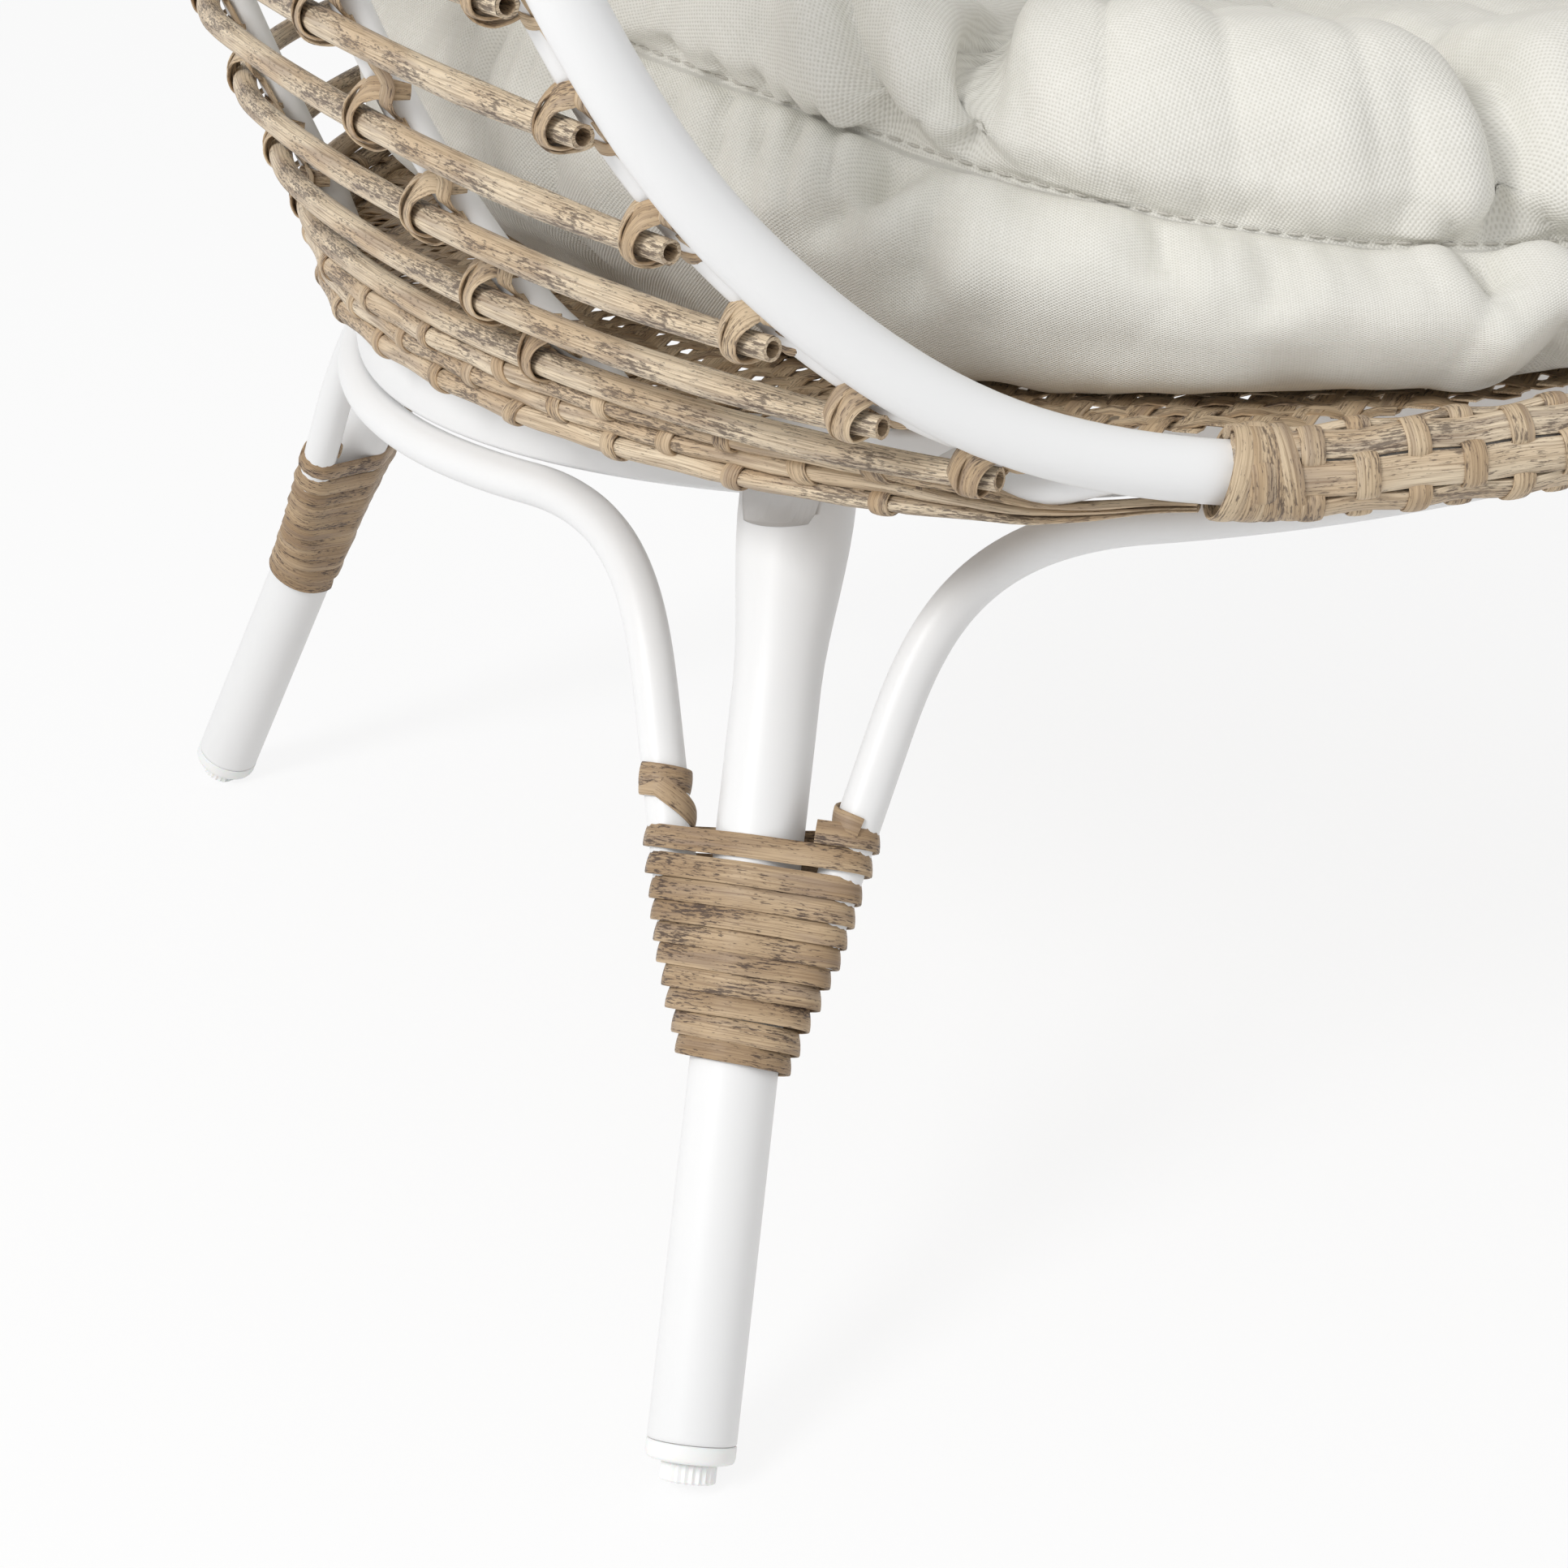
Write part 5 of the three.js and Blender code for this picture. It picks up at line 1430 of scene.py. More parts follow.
    def _band_wrap(self, body: Body, place: float, row: int) -> None:
        """A strap over one row of the band, its ends tucked behind the rows beside it."""
        low = -200 if row == 0 else -118
        high = 205 if row == self.ROWS - 1 else 118
        angle = np.radians(np.linspace(low, high, 30))
        lean = 0.00016 * self.random.normal(0, 10) * np.sin(angle)
        points, normal, height = self.band_point(place + lean, (row + 0.5) / self.ROWS,
                                                 self._row_out(row) - self.TUCK)
        across = (self.ROW_DEPTH + 1.5) * np.cos(angle)
        raised = (height * 0.5 + 1.0) * np.sin(angle)
        facing = normal * np.cos(angle)[:, None] + UP * np.sin(angle)[:, None]
        body.strap(points + normal * across[:, None] + UP * raised[:, None], facing, 8.2, 1.4)

    def _lip(self) -> None:
        """The sleeve woven round the rim's front: its rows, the straps over them and a bundle at each end."""
        shell = self.shell
        across = lambda level: shell.rim_at(level)[:, 0]
        reach = float(solve([-2.0], [0.0], self.LIP_HALF, across)[0])
        half = shell.rim_at(np.linspace(-2, reach, 90))
        path = np.concatenate([(half * [-1, 1, 1])[::-1], half[1:]])
        path = Spline(path).spaced(181)
        side, lifted = frames_along(path, up=np.tile(UP, (len(path), 1)))
        side = np.where(side[:, 1:2] > 0, -side, side)
        walked, count = travelled(path), self.LIP_STATIONS
        stations = (np.arange(count) + 0.5) * walked[-1] / count
        rows, straps = Body(), Body()
        for row, degrees in enumerate(self.LIP_ROWS):
            angle = math.radians(degrees)
            phase = np.interp(walked, stations, np.arange(count)) + row
            radius = self.LIP_RADIUS - 0.7 * np.cos(np.pi * phase)
            facing = side * math.cos(angle) + lifted * math.sin(angle)
            centre = path + facing * radius[:, None]
            rows.sweep(centre, round_section(14) * self.LIP_SECTION, frames_along(centre, up=facing))
        rows.build("lip_rows", self.finishes.cane, Slot.RATTAN, replaces=("front_lip",))
        for index, station in enumerate(stations):
            i = int(np.searchsorted(walked, station))
            for row in range(len(self.LIP_ROWS)):
                if (row + index) % 2 == 1:
                    self._lip_wrap(straps, (path[i], side[i], lifted[i]), self.LIP_ROWS[row])
        for end, inward in ((0, 1), (len(path) - 1, -1)):
            for k in range(self.BUNDLE):
                i = end + inward * (1 + 3 * k)
                self._lip_ring(straps, (path[i], side[i], lifted[i]), self.BUNDLE_SLANT * (k - 1.5))
        straps.build("lip_straps", self.finishes.strap, Slot.RATTAN)

    def _lip_wrap(self, body: Body, spot: tuple, degrees: float) -> None:
        """A strap over one row of the sleeve, its ends tucked under the rows beside it.

        Args:
            body: the body that it is added to.
            spot: a point of the rim's centre line, and the ways forward and up from it.
            degrees: the row's place round the rim, from forward to up.
        """
        middle, side, lifted = spot
        share = np.linspace(-1, 1, 20)
        angle = np.radians(degrees + 34 * share)
        radius = self.LIP_OUT - 3.6 * np.abs(share) ** 5
        tilt = 0.05 * self.random.normal()
        ahead = np.cross(side, lifted)
        facing = side * np.cos(angle)[:, None] + lifted * np.sin(angle)[:, None]
        points = middle + facing * radius[:, None] + ahead * (tilt * 12 * share)[:, None]
        body.strap(points, facing, 8.4, 1.1)

    def _lip_ring(self, body: Body, spot: tuple, slant: float) -> None:
        """A whole slanted turn of strap round the sleeve's end, at a spot as for _lip_wrap."""
        middle, side, lifted = spot
        angle = np.radians(np.linspace(-170, 190, 48))
        ahead = np.cross(side, lifted)
        radius = self.BUNDLE_OUT
        facing = side * np.cos(angle)[:, None] + lifted * np.sin(angle)[:, None]
        points = middle + radius * facing + ahead * (slant * radius * np.sin(angle))[:, None]
        body.strap(points, facing, self.STRAP_WIDTH, 1.2)

    def _tray_edge(self, direction: Array) -> Array:
        """Distance from the tray's centre to its edge, in plan, for unit directions."""
        x, y = np.abs(direction[:, 0]), direction[:, 1]
        ahead = y < 0
        depth = np.where(ahead, self.TRAY_FRONT, self.TRAY_HALF)
        power = np.where(ahead, self.TRAY_POWER, 2.0)
        return ((x / self.TRAY_HALF) ** power + (np.abs(y) / depth) ** power) ** (-1 / power)

    def _tray(self) -> None:
        """The seat's woven tray: two sets of straps that cross over and under each other."""
        pitch, half, thick = self.TRAY_PITCH, self.TRAY_WIDTH / 2, self.TRAY_THICKNESS / 2
        shape = np.array([[-half, -thick], [half, -thick], [half, thick], [-half, thick]])
        body = Body()
        for turn in (1, -1):
            angle = turn * math.radians(self.TRAY_TURN)
            along = np.array([math.cos(angle), math.sin(angle)])
            across = np.array([-along[1], along[0]])
            for k in range(-46, 47):
                s = np.arange(-640, 640, pitch / 2)
                flat = along * s[:, None] + across * (k * pitch)
                distance = np.linalg.norm(flat, axis=1)
                keep = distance < self._tray_edge(flat / np.maximum(distance, 1e-6)[:, None]) - 2
                if keep.sum() < 4:
                    continue
                wave = turn * np.cos(math.pi * s / (pitch * 1.03) + k * math.pi) * 1.1
                points = np.column_stack([flat, self.TRAY_HEIGHT + wave])[keep]
                body.sweep(points, shape, frames_along(points, up=np.tile(UP, (len(points), 1))))
        body.build("tray_weave", self.finishes.strap, Slot.RATTAN, replaces=("woven_tray",))
        self._edge_loops()

    def _edge_loops(self) -> None:
        """Slanting straps that wind round the seat hoop between the band and the tray."""
        body = Body()
        places = np.linspace(-self.WRAP_END, self.WRAP_END, 1600)
        centre = self.white.hoop_point(places)
        walked = travelled(centre)
        normal = self.shell.base_normal(places)
        turn = np.linspace(0, 2 * math.pi, 26)
        for start in np.arange(4, walked[-1] - 30, self.LOOP_PITCH):
            s = start + self.LOOP_SLANT * turn / (2 * math.pi)
            out = unit(between(s, walked, normal))
            reach = (self.LOOP_OUT + self.LOOP_SWELL * np.cos(turn)) * np.cos(turn)
            offset = out * reach[:, None] + UP * (self.LOOP_UP * np.sin(turn))[:, None]
            body.strap(between(s, walked, centre) + offset, unit(offset), self.STRAP_WIDTH, 1.0)
        body.build("hoop_loops", self.finishes.strap, Slot.RATTAN)


class Bindings:
    """Builds the strap wound round each leg and its two rods."""

    TOP = 125.0
    BOTTOM = 228.0
    WIDTH = 8.7
    THICKNESS = 1.2
    DRAW_IN = 178.0
    STEPS = 44
    PITCHES = (11.6, 11.0, 9.8, *(8.9,) * 8)
    SHORT = 1.58
    START_TURN = 0.13
    TILT = 0.15

    def __init__(self, white: WhiteFrame, finishes: Finishes, seed: int = 3) -> None:
        """Works out how the rods part from the leg, and starts the random draws."""
        self.white, self.finishes = white, finishes
        self.random = np.random.default_rng(seed)
        plan = white.plan
        self.end_offset = plan.leg_radius + plan.arch_radius + plan.fit
        self.slope = (plan.bend_offset - self.end_offset) / (plan.end_drop - plan.bend_drop)

    def outline(self, drop: float, turn: float, out: float) -> tuple:
        """A point of the tight outline round the leg and its rods, in the leg's own X and Y.

        Args:
            drop: distance down from the leg's top.
            turn: turns from the leg's inner side.
            out: distance out from the outline.
        Returns:
            The point and its outward direction.
        """
        plan = self.white.plan
        past = float(np.clip((drop - self.DRAW_IN) / (self.BOTTOM - self.DRAW_IN), 0, 1))
        side = (self.end_offset + (plan.end_drop - min(drop, self.DRAW_IN)) * self.slope) * (1 - past)
        rod = plan.arch_radius + (plan.leg_radius - plan.arch_radius) * past
        big = plan.leg_radius
        lean = math.asin((big - rod) / side) if side > big - rod else math.pi / 2
        straight = math.sqrt(max(side**2 - (big - rod) ** 2, 0))
        lengths = [lean * big, straight, (math.pi - 2 * lean) * rod, straight, lean * big]
        total = sum(lengths)
        sign = 1 if (turn % 1) < 0.5 else -1
        walked = ((turn % 0.5) * 2) * total
        starts = np.concatenate([[0], np.cumsum(lengths)])
        span = min(int(np.searchsorted(starts, walked, side="right")) - 1, 4)
        part = (walked - starts[span]) / max(lengths[span], 1e-9)
        # Round the leg, straight to the rod, round the rod, straight back, and round the leg again.
        angle = (lean * part, lean, lean + (math.pi - 2 * lean) * part, math.pi - lean,
                 math.pi - lean + lean * part)[span]
        facing = np.array([math.cos(angle), math.sin(angle)])
        on_leg = (big + out) * facing
        on_rod = np.array([0, side]) + (rod + out) * facing
        share = (0, part, 1, 1 - part, 0)[span]
        return sign * (on_leg * (1 - share) + on_rod * share), sign * facing

    def build(self) -> None:
        """Makes the four bindings."""
        for leg in Leg:
            body = self._winding()
            # The bindings take the darker wound rattan, whose colour paints the shade under the ring.
            body.moved(self.white.axis.matrix(leg)).build(
                f"binding_{leg.label}", self.finishes.wound, Slot.RATTAN,
                replaces=(f"leg_binding_{leg.label}",))

    def _winding(self) -> Body:
        """The whole binding, in the leg's frame: the unbroken strap and its loose ends."""
        body = Body()
        length = self.white.axis.length
        first, last = self.TOP + self.WIDTH / 2, self.BOTTOM - self.WIDTH / 2 + 3
        starts = first + np.concatenate([[0], np.cumsum(self.PITCHES)])
        starts = first + (starts - first) * (last - first) / (starts[-1] - first)
        jitter = self.random.normal(0, 0.35, len(starts))
        points, facings = [], []
        for i in range(int((len(starts) - self.SHORT) * self.STEPS)):
            turn = i / self.STEPS
            whole = int(turn)
            drop = np.interp(turn, np.arange(len(starts)), starts + jitter)
            wobble = 0.25 * math.sin(turn * 2 * math.pi + whole)
            flat, normal = self.outline(drop, turn + self.START_TURN, 0.75 + 0.25 * (whole % 2))
            points.append((*flat, length - drop + wobble))
            facings.append((*normal, self.TILT + 0.03 * math.sin(whole * 2.1)))
        body.strap(np.array(points), np.array(facings), self.WIDTH + 0.7, self.THICKNESS)
        # An extra turn round the left rod with a strap that slants down from it, and the start on the right.
        self._round_rod(body, -1, (-0.9, 2 * math.pi + 0.2), (112.5, 116.5), self.WIDTH + 1.0)
        self._round_rod(body, -1, (0.1, 1.9), (117.0, 129.0), self.WIDTH)
        self._round_rod(body, 1, (-2.5, 0.5), (119.0, 127.5), self.WIDTH * 0.95)
        return body

    def _round_rod(self, body: Body, side: int, angles: tuple, drops: tuple, width: float) -> None:
        """A piece of strap round one rod.

        Args:
            body: the body that it is added to.
            side: 1 or -1, for the rod on that side of the leg.
            angles: its first and last angle round the rod.
            drops: its first and last distance down from the leg's top.
            width: its width.
        """
        plan = self.white.plan
        angle = np.linspace(*angles, self.STEPS)
        drop = np.linspace(*drops, self.STEPS)
        middle = side * (self.end_offset + (plan.end_drop - drop) * self.slope)
        radius = plan.arch_radius + 0.9
        height = self.white.axis.length - drop
        points = level_path(radius * np.cos(angle), middle + radius * np.sin(angle), height)
        body.strap(points, level_path(np.cos(angle), np.sin(angle), 0.0), width, self.THICKNESS)


# ---- cushions


@dataclass(frozen=True)
class CushionPlan:
    """Driving dimensions of both cushions, as the part has them."""

    seat_bottom: float = 387.4
    seat_centre: float = -60.0
    side: float = 300.0
    front: float = 397.0
    back: float = 385.0
    spread: float = 45.0
    spread_rise: float = 80.0
    seam_front: float = 45.6
    seam_rise: float = 110.0
    seam_climb: float = 98.0
    puff_front: float = 75.0
    puff_side: float = 42.0
    dish: float = 104.0
    seat_lobes: int = 12
    seat_fold: float = -98.7
    back_low: float = 2.85
    back_high: float = 8.6
    back_reach: float = 0.66
    back_depth: float = 21.9
    back_thickness: float = 104.0
    back_lobes: int = 10
    back_fold: float = -90.0
    fold_deepest: float = 21.0
    fold_in: float = 0.3


class Cushions:
    """Builds the seat and back cushions: border, sewn seam, lobes, creases, puckers and stitches."""

    # Each ring: share of the reach, height in the border, height in the puff (in the back cushion the first
    # height is a share of its thickness, and there is no other), and depth of the folds between lobes.
    SEAT_RINGS = ((0.45, 0, 0, 0), (0.93, 0, 0, 0), (0.985, 0.06, 0, 0), (1.03, 0.42, 0, 0),
                  (1.02, 0.78, 0, 0), (0.955, 1, 0, 0), (0.975, 1, 0.3, 5), (0.945, 1, 0.75, 14),
                  (0.87, 1, 1, 21), (0.78, 1, 0.96, 19), (0.7, 1, 0.8, 9), (0.55, 1, 0.9, 10),
                  (0.35, 1, 0.9, 8), (0.12, 1, 0.8, 4))
    BACK_RINGS = ((0.3, 0, 0, 0), (0.7, 0, 0, 0), (0.92, 0.04, 0, 0), (1, 0.24, 0, 0), (0.99, 0.42, 0, 0),
                  (0.93, 0.52, 0, 0), (0.95, 0.66, 0, 5), (0.91, 0.88, 0, 14), (0.82, 1, 0, 21),
                  (0.7, 0.96, 0, 18), (0.6, 0.84, 0, 9), (0.45, 0.9, 0, 10), (0.27, 0.88, 0, 8),
                  (0.1, 0.76, 0, 4))
    SEAM = 5 / (len(SEAT_RINGS) - 1)
    SIDES = 900
    ROWS = 170
    BORDER_LENGTH = 2142.0
    STITCH = 5.6
    STITCH_PITCH = 7.8
    STITCH_RADII = (0.3, 0.55, 0.6, 0.55, 0.3)
    LAYERS = 3
    WAVES = 14
    # Each crease: angle at its start and its end, share of the section at both, half width in degrees, depth.
    SEAT_CREASES = ((-131.8, -129.2, 0.22, 0.40, 1.5, 9.0), (-132.6, -139.5, 0.375, 0.66, 1.4, 12.0),
                    (-139.5, -129.8, 0.25, 0.40, 1.6, 9.0), (-135.5, -132.4, 0.30, 0.40, 1.5, 7.0),
                    (-124.0, -126.0, 0.40, 0.60, 1.6, 5.0), (-98.8, -101.2, 0.30, 0.40, 1.5, 6.0),
                    (-97.8, -96.4, 0.13, 0.31, 1.5, 10.0), (-104.0, -103.2, 0.40, 0.58, 1.5, 5.0),
                    (-112.5, -110.5, 0.25, 0.385, 1.3, 4.5), (-118.0, -116.5, 0.28, 0.385, 1.2, 4.0))

    def __init__(self, plan: CushionPlan, shell: Shell, finishes: Finishes, seed: int = 5) -> None:
        """Keeps the plan, the shell and the finishes, and draws the waves of the lumps."""
        self.plan, self.shell, self.finishes = plan, shell, finishes
        random = np.random.default_rng(seed)
        self.waves = random.normal(0, 1, (self.LAYERS, self.WAVES, 3))
        self.phases = random.uniform(0, 2 * math.pi, (self.LAYERS, self.WAVES))

    def build(self) -> None:
        """Makes both cushions and their stitching."""
        plan = self.plan
        seat = self._cushion("seat_pad", "seat_cushion", self.SEAT_RINGS, self._seat_point,
                             plan.seat_lobes, plan.seat_fold, self.SEAT_CREASES)
        back = self._cushion("back_pad", "back_cushion", self.BACK_RINGS, self._back_point,
                             plan.back_lobes, plan.back_fold, ())

    def _noise(self, points: Array, length: float, layer: int) -> Array:
        """Gentle lumps, from -1 to 1 or so.

        Args:
            points: places in millimetres.
            length: about how far it is from one lump to the next.
            layer: which layer of waves; only two are used, and the third keeps the draws in their order.
        Returns:
            A number for each point.
        """
        wave = self.waves[layer] * (2 * math.pi / length / 1.5)
        return np.sin(points @ wave.T + self.phases[layer]).sum(axis=-1) / 3.7

    @staticmethod
    def _folds(angle: Array, share: Array, lobes: int, first: float) -> Array:
        """Depth share of the folds between lobes: a soft valley with a sharper crease along it.

        Args:
            angle: angles round the cushion.
            share: shares of its reach.
            lobes: how many lobes it has.
            first: the angle of one fold, in degrees.
        Returns:
            A share for each angle.
        """
        turn = (angle - math.radians(first)) * lobes / (2 * math.pi) + 0.03 * np.sin(9 * share + 2 * angle)
        index = np.round(turn)
        off = turn - index
        strength = 0.9 + 0.16 * np.sin(index * 2.4 + 1.0)
        narrow = np.where(off > 0, 0.055, 0.03)
        return strength * (0.62 * np.abs(np.cos(np.pi * off)) ** 6 + 0.38 * np.exp(-np.abs(off) / narrow))

    def _seat_point(self, angle: Array, share: Array, below: Array, above: Array,
                    depth: Array) -> Array:
        """Points of the seat cushion for its angles and the four values of its rings."""
        plan = self.plan
        behind = np.arccos(np.clip(-np.sin(angle), -1, 1))
        seam = plan.seam_front + plan.seam_rise * (1 - np.exp(-plan.seam_climb * behind**2 / plan.seam_rise))
        puff = plan.puff_front + (plan.puff_side - plan.puff_front) * smooth(behind / (math.pi / 2))
        edge = below * seam + above * puff
        dish = np.where(above > 0, 1 - np.minimum(share / 0.8, 1) ** 2, 0)
        fold = depth * self._folds(angle, share, plan.seat_lobes, plan.seat_fold)
        height = plan.seat_bottom + edge + (plan.dish - edge) * dish - fold
        spread = plan.spread * smooth((height - plan.seat_bottom) / plan.spread_rise) * np.cos(angle) ** 4
        ahead = np.where(np.sin(angle) < 0, plan.front, plan.back)
        reach = share / np.hypot(np.cos(angle) / (plan.side + spread), np.sin(angle) / ahead)
        reach = reach - fold * above * plan.fold_in
        return level_path(reach * np.cos(angle), plan.seat_centre + reach * np.sin(angle), height)

    def _back_point(self, angle: Array, share: Array, thick: Array, _: Array,
                    depth: Array) -> Array:
        """Points of the back cushion, laid on the shell and set in from it; its rings have no puff."""
        plan = self.plan
        half = (plan.back_high - plan.back_low) / 2
        level = plan.back_low + half + share * half * np.sin(angle)
        place = share * plan.back_reach * np.cos(angle)
        fold = depth * self._folds(angle, share, plan.back_lobes, plan.back_fold)
        inset = plan.back_depth + thick * plan.back_thickness - fold
        points = self.shell.inside(level.ravel(), place.ravel(), inset.ravel())
        return points.reshape(*angle.shape, 3)

    @staticmethod
    def _gather(phase: Array) -> Array:
        """Rounded crowns between narrow valleys, from -1 to 1, for gathered cloth."""
        return 2 * np.abs(np.sin(phase)) ** 0.6 - 1

    def _puckers(self, angle: Array, past: Array, off: Array) -> Array:
        """Gathers of the cloth on both sides of the seam, and the seam's own valley.

        Args:
            angle: angles round the cushion.
            past: places along the section from the seam, negative on the border.
            off: places across a lobe from the nearest fold, in lobes.
        Returns:
            Outward moves in millimetres.
        """
        sided = lambda border, top: np.where(past < 0, bell(past, border), bell(past, top))
        sway = 4.1 * np.sin(angle * 7) + 2.9 * np.sin(angle * 13)
        fine = self._gather(angle * 41 + sway + 9.0 * past)
        wide = self._gather(angle * 17 + 1.9 * np.sin(angle * 5 + 1) - 5.0 * past)
        uneven = 0.15 + 0.85 * smooth(0.5 + 0.9 * np.sin(angle * 11 + 0.7) * np.sin(angle * 4 + 2))
        near_fold = 0.4 + 0.8 * bell(off, 0.17)
        gathers = 4.4 * fine * uneven * sided(0.09, 0.06) + 5.0 * wide * sided(0.17, 0.14) * near_fold
        return (1 - bell(past, 0.016)) * gathers - 1.2 * bell(past, 0.009)

    @staticmethod
    def _fold_edges(along: Array, past: Array, off: Array) -> Array:
        """Moves for the sharp line down each fold, steeper on one side, and the swelling beside it."""
        line = np.exp(-np.abs(off) / np.where(off > 0, 0.07, 0.028))
        line = 15 * line * smooth((past - 0.004) / 0.035) * smooth((0.86 - along) / 0.25)
        return 4.5 * bell(off - 0.13, 0.07) * smooth(past / 0.06) * smooth((0.9 - along) / 0.2) - line

    @staticmethod
    def _crease_depth(angle: Array, along: Array, creases: tuple) -> Array:
        """How deep the extra creases are, with a ridge on each side of every one.

        Args:
            angle: angles round the cushion.
            along: places along the section.
            creases: rows as in SEAT_CREASES.
        Returns:
            Depths in millimetres.
        """
        degrees = np.degrees(np.arctan2(np.sin(angle), np.cos(angle)))
        found = np.zeros(angle.shape)
        for low, high, start, end, width, depth in creases:
            share = np.clip((along - start) / (end - start), 0, 1)
            off = np.abs(degrees - (low + (high - low) * share)) / width
            shape = np.exp(-off ** 1.25) - 0.45 * bell(off - 2.2, 1.2)
            found += depth * shape * smooth((along - start) / 0.05) * smooth((end - along) / 0.07)
        return found

    def _relief(self, points: Array, angle: Array, along: Array, lobes: int, first: float,
                creases: tuple) -> Array:
        """All the outward moves of the cover, which fade away under the cushion.

        Args:
            points: the cover's grid, in rows from the underside to the middle of the top.
            angle: each point's angle round the cushion.
            along: each point's place along the section, from 0 to 1.
            lobes: how many lobes the top has.
            first: the angle of one fold, in degrees.
            creases: rows as in SEAT_CREASES.
        Returns:
            A distance in millimetres for every point.
        """
        past = along - self.SEAM
        turn = (angle - math.radians(first)) * lobes / (2 * math.pi)
        off = turn - np.round(turn)
        ridge = self._gather(angle * lobes * 1.5 + 2.5 * np.sin(angle * 3)) * smooth(past / 0.14)
        relief = self._puckers(angle, past, off) + self._fold_edges(along, past, off)
        relief += 2.2 * ridge * smooth((1 - along) / 0.3) - self._crease_depth(angle, along, creases)
        relief += 1.6 * self._noise(points, 75, 0) + 0.5 * self._noise(points, 28, 1)
        return relief * smooth(along / 0.12)

    def _cushion(self, name: str, node: str, rings: tuple, surface: Callable[..., Array], lobes: int,
                 first: float, creases: tuple) -> bpy.types.Object:
        """Makes one cushion and the stitches along its seam.

        Args:
            name: the piece's name.
            node: the CAD node that it stands for.
            rings: rows as in SEAT_RINGS.
            surface: gives its points for angles and ring values.
            lobes: how many lobes the top has.
            first: the angle of one fold, in degrees.
            creases: rows as in SEAT_CREASES.
        Returns:
            The cushion's piece.
        """
        shape = (self.ROWS, self.SIDES)
        along = np.linspace(0, 1, self.ROWS)
        deepest = self.plan.fold_deepest
        values = Spline(np.array(rings, float) * [1, 1, 1, 1 / deepest]).at(along) * [1, 1, 1, deepest]
        angle = math.pi / 2 + np.arange(self.SIDES) * 2 * math.pi / self.SIDES
        angle, along = np.broadcast_to(angle, shape), np.broadcast_to(along[:, None], shape)
        share, below, above, depth = (np.broadcast_to(values[:, k:k + 1], shape) for k in range(4))
        points = surface(angle, share, below, np.maximum(above, 0), np.maximum(depth, 0))
        across = np.roll(points, -1, axis=1) - np.roll(points, 1, axis=1)
        normal = unit(np.cross(across, np.gradient(points, axis=0)))
        points = points + normal * self._relief(points, angle, along, lobes, first, creases)[..., None]
        body = Body()
        grain = self._cloth_grain(points, angle).reshape(-1, 3)
        body.add(points.reshape(-1, 3), grid_faces(self.ROWS, self.SIDES), grain)
        piece = body.build(name, self.finishes.canvas, Slot.CANVAS, replaces=(node,), sharp=180)
        self._stitches(points, normal, name)
        return piece

    @property
    def _seam_row(self) -> int:
        """The grid's row that lies on the seam."""
        return int(round(self.SEAM * (self.ROWS - 1)))

    def _cloth_grain(self, points: Array, angle: Array) -> Array:
        """Places on the cloth's flat panels: the border runs round, the top runs across from its middle."""
        steps = np.linalg.norm(np.diff(points, axis=0), axis=2).mean(axis=1)
        walked = np.concatenate([[0], np.cumsum(steps)])[:, None]
        border = level_path((angle - math.pi / 2) * self.BORDER_LENGTH / (2 * math.pi), walked, 0.0)
        left = walked[-1] - walked
        top = level_path(left * np.cos(angle), left * np.sin(angle), 0.0)
        return np.where((np.arange(self.ROWS) >= self._seam_row)[:, None, None], top, border)

    def _stitches(self, points: Array, normal: Array, name: str) -> None:
        """Short stitches end to end along the seam, a little proud of its valley."""
        row = self._seam_row + 1
        ring = np.concatenate([points[row], points[row][:1]])
        out = np.concatenate([normal[row], normal[row][:1]])
        walked = travelled(ring)
        lift = 0.25 + 0.5 * np.sin(np.linspace(0.15, math.pi - 0.15, len(self.STITCH_RADII)))[:, None]
        body = Body()
        for start in np.arange(0, walked[-1] - 8, self.STITCH_PITCH):
            s = start + np.linspace(0, self.STITCH, len(self.STITCH_RADII))
            path = between(s, walked, ring) + between(s, walked, out) * lift
            body.tube(path, self.STITCH_RADII, 6)
        body.build(f"stitches_{name}", self.finishes.thread, Slot.CANVAS)


# ---- studio and camera


@dataclass(frozen=True)
class CameraPlan:
    """The photograph's camera: place in metres, heading, and focal length in pixels of the full frame."""

    place: tuple = (-0.6838, -1.31625, 0.7343)
    yaw: float = 0.353
    pitch: float = 0.418
    roll: float = -0.093
    focal: float = 3860.9
    frame: float = 1932.0
    sensor: float = 36.0


@dataclass(frozen=True)
class Lamp:
    """A round soft lamp that looks at the chair's middle."""

    name: str
    place: tuple
    size: float
    power: float

    def light(self) -> None:
        """Puts the lamp in the scene."""
        data = bpy.data.lights.new(self.name, "AREA")
        data.shape, data.size, data.energy = "DISK", self.size, self.power
        light = bpy.data.objects.new(self.name, data)
        light.location = self.place
        light.rotation_mode = "QUATERNION"
        light.rotation_quaternion = (Vector((0, 0, 0.5)) - Vector(self.place)).to_track_quat("-Z", "Y")
        bpy.context.scene.collection.objects.link(light)


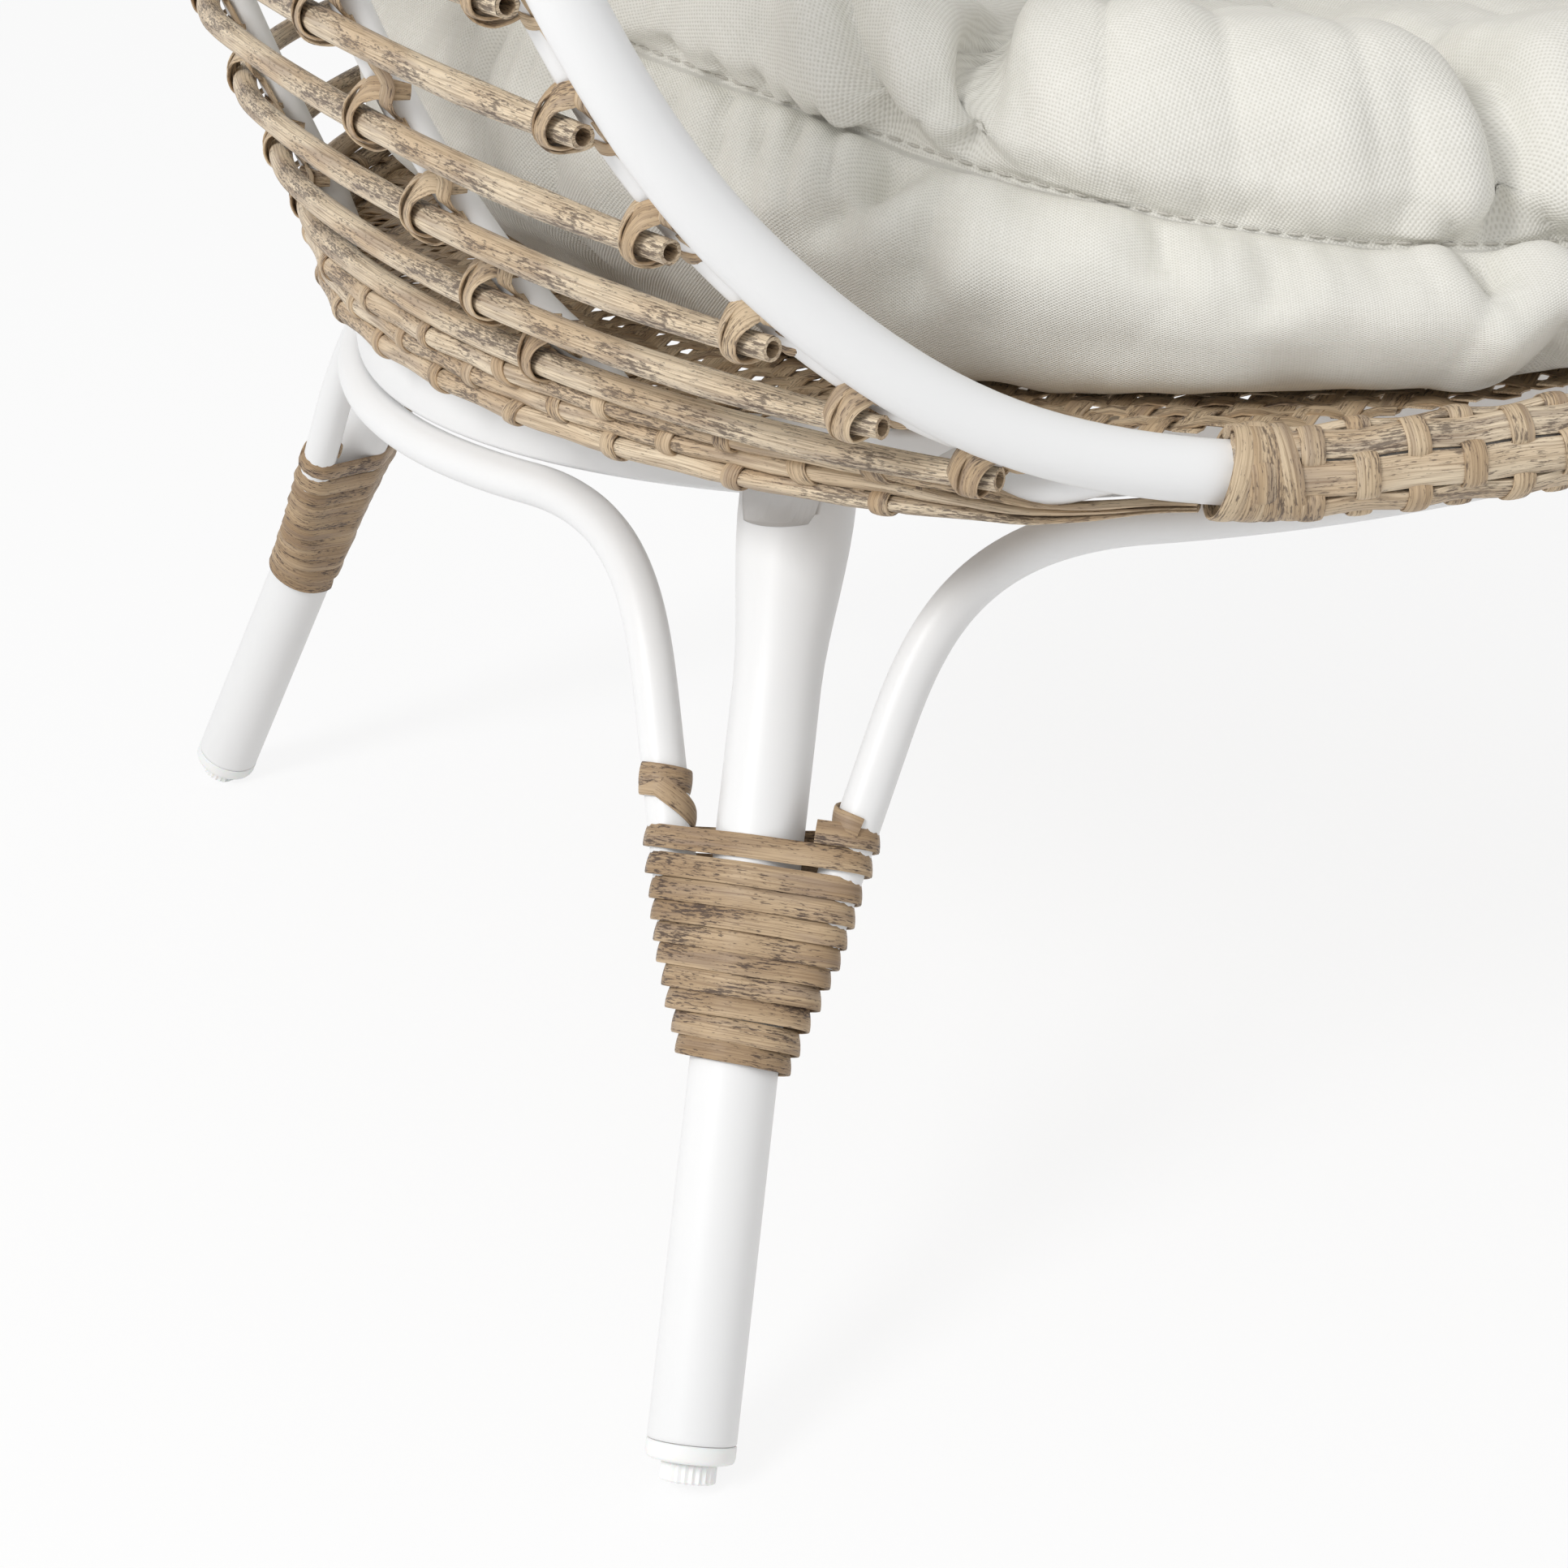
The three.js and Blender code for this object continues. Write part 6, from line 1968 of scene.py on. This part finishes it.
class Studio:
    """A pale floor, soft light and the camera."""

    LAMPS = (Lamp("key", (-2.6, -1.2, 2.6), 1.3, 62), Lamp("side", (2.4, -2.4, 1.6), 2.2, 8))
    FLOOR_HALF = 30.0
    FLOOR_GLOW = 0.86
    SKY_LIGHT = 0.62

    def __init__(self, plan: CameraPlan) -> None:
        """Keeps the camera's plan."""
        self.plan = plan

    def build(self) -> None:
        """Makes the floor, the light and the camera."""
        self._floor()
        self._world()
        for lamp in self.LAMPS:
            lamp.light()
        self._camera()

    def _floor(self) -> None:
        """A pale floor that lights the chair as paper does, and looks nearly white itself."""
        mesh = bpy.data.meshes.new("floor")
        half = self.FLOOR_HALF
        corners = [(-half, -half, 0), (half, -half, 0), (half, half, 0), (-half, half, 0)]
        mesh.from_pydata(corners, [], [(0, 1, 2, 3)])
        floor = bpy.data.objects.new("floor", mesh)
        bpy.context.scene.collection.objects.link(floor)
        shader = Shader("floor_paper")
        tree = shader.tree
        paper = mix_colour(tree, shader.cloud(3.0, 2.0), (0.90, 0.90, 0.90, 1), (0.915, 0.915, 0.915, 1))
        shader.set(Base_Color=paper, Roughness=0.9, Specular_IOR_Level=0.1)
        white = shader.node("ShaderNodeEmission", Color=(1, 1, 1, 1), Strength=1.0)
        share = math_node(tree, "MULTIPLY", self._seen(tree), self.FLOOR_GLOW)
        mixed = shader.node("ShaderNodeMixShader", i0=share, i1=shader.bsdf.outputs[0], i2=white.outputs[0])
        tree.links.new(mixed.outputs[0], shader.output.inputs[0])
        mesh.materials.append(shader.material)

    @staticmethod
    def _seen(tree: Tree) -> Socket:
        """1 for camera, glossy and transmission rays, and 0 for the rays that light the chair."""
        path = tree.nodes.new("ShaderNodeLightPath")
        seen = path.outputs["Is Camera Ray"]
        for name in ("Is Glossy Ray", "Is Transmission Ray"):
            seen = math_node(tree, "MAXIMUM", seen, path.outputs[name])
        return seen

    def _world(self) -> None:
        """A white world, dimmer for the rays that light the chair."""
        world = bpy.data.worlds.new("studio")
        world.use_nodes = True
        tree = world.node_tree
        tree.nodes.clear()
        strength = add_node(tree, "ShaderNodeMapRange", Value=self._seen(tree), To_Min=self.SKY_LIGHT,
                            To_Max=1.0)
        backdrop = add_node(tree, "ShaderNodeBackground", Color=(1, 1, 1, 1), Strength=strength.outputs[0])
        output = tree.nodes.new("ShaderNodeOutputWorld")
        tree.links.new(backdrop.outputs[0], output.inputs[0])
        bpy.context.scene.world = world

    def _camera(self) -> None:
        """The photograph's camera."""
        plan = self.plan
        sy, cy = math.sin(plan.yaw), math.cos(plan.yaw)
        sp, cp = math.sin(plan.pitch), math.cos(plan.pitch)
        ahead = Vector((sy * cp, cy * cp, -sp))
        right = Vector((cy, -sy, 0))
        up = right.cross(ahead)
        cr, sr = math.cos(plan.roll), math.sin(plan.roll)
        data = bpy.data.cameras.new("camera")
        data.sensor_width = plan.sensor
        data.lens = plan.focal * plan.sensor / plan.frame
        data.clip_start, data.clip_end = 0.05, 100
        camera = bpy.data.objects.new("camera", data)
        across, raised = right * cr + up * sr, up * cr - right * sr
        turn = Matrix((across, raised, -ahead)).transposed().to_4x4()
        camera.matrix_world = Matrix.Translation(plan.place) @ turn
        bpy.context.scene.collection.objects.link(camera)
        bpy.context.scene.camera = camera
        bpy.context.scene.view_settings.view_transform = "Standard"


def main() -> None:
    """Builds the whole scene."""
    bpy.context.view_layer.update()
    finishes = Finishes()
    shell = Shell(ShellPlan())
    Studio(CameraPlan()).build()
    white = WhiteFrame(FramePlan(), shell, finishes)
    white.build()
    Lattice(shell, white, finishes).build()
    WovenBase(shell, white, finishes).build()
    Bindings(white, finishes).build()
    Cushions(CushionPlan(), shell, finishes).build()


if __name__ == "__main__":
    main()
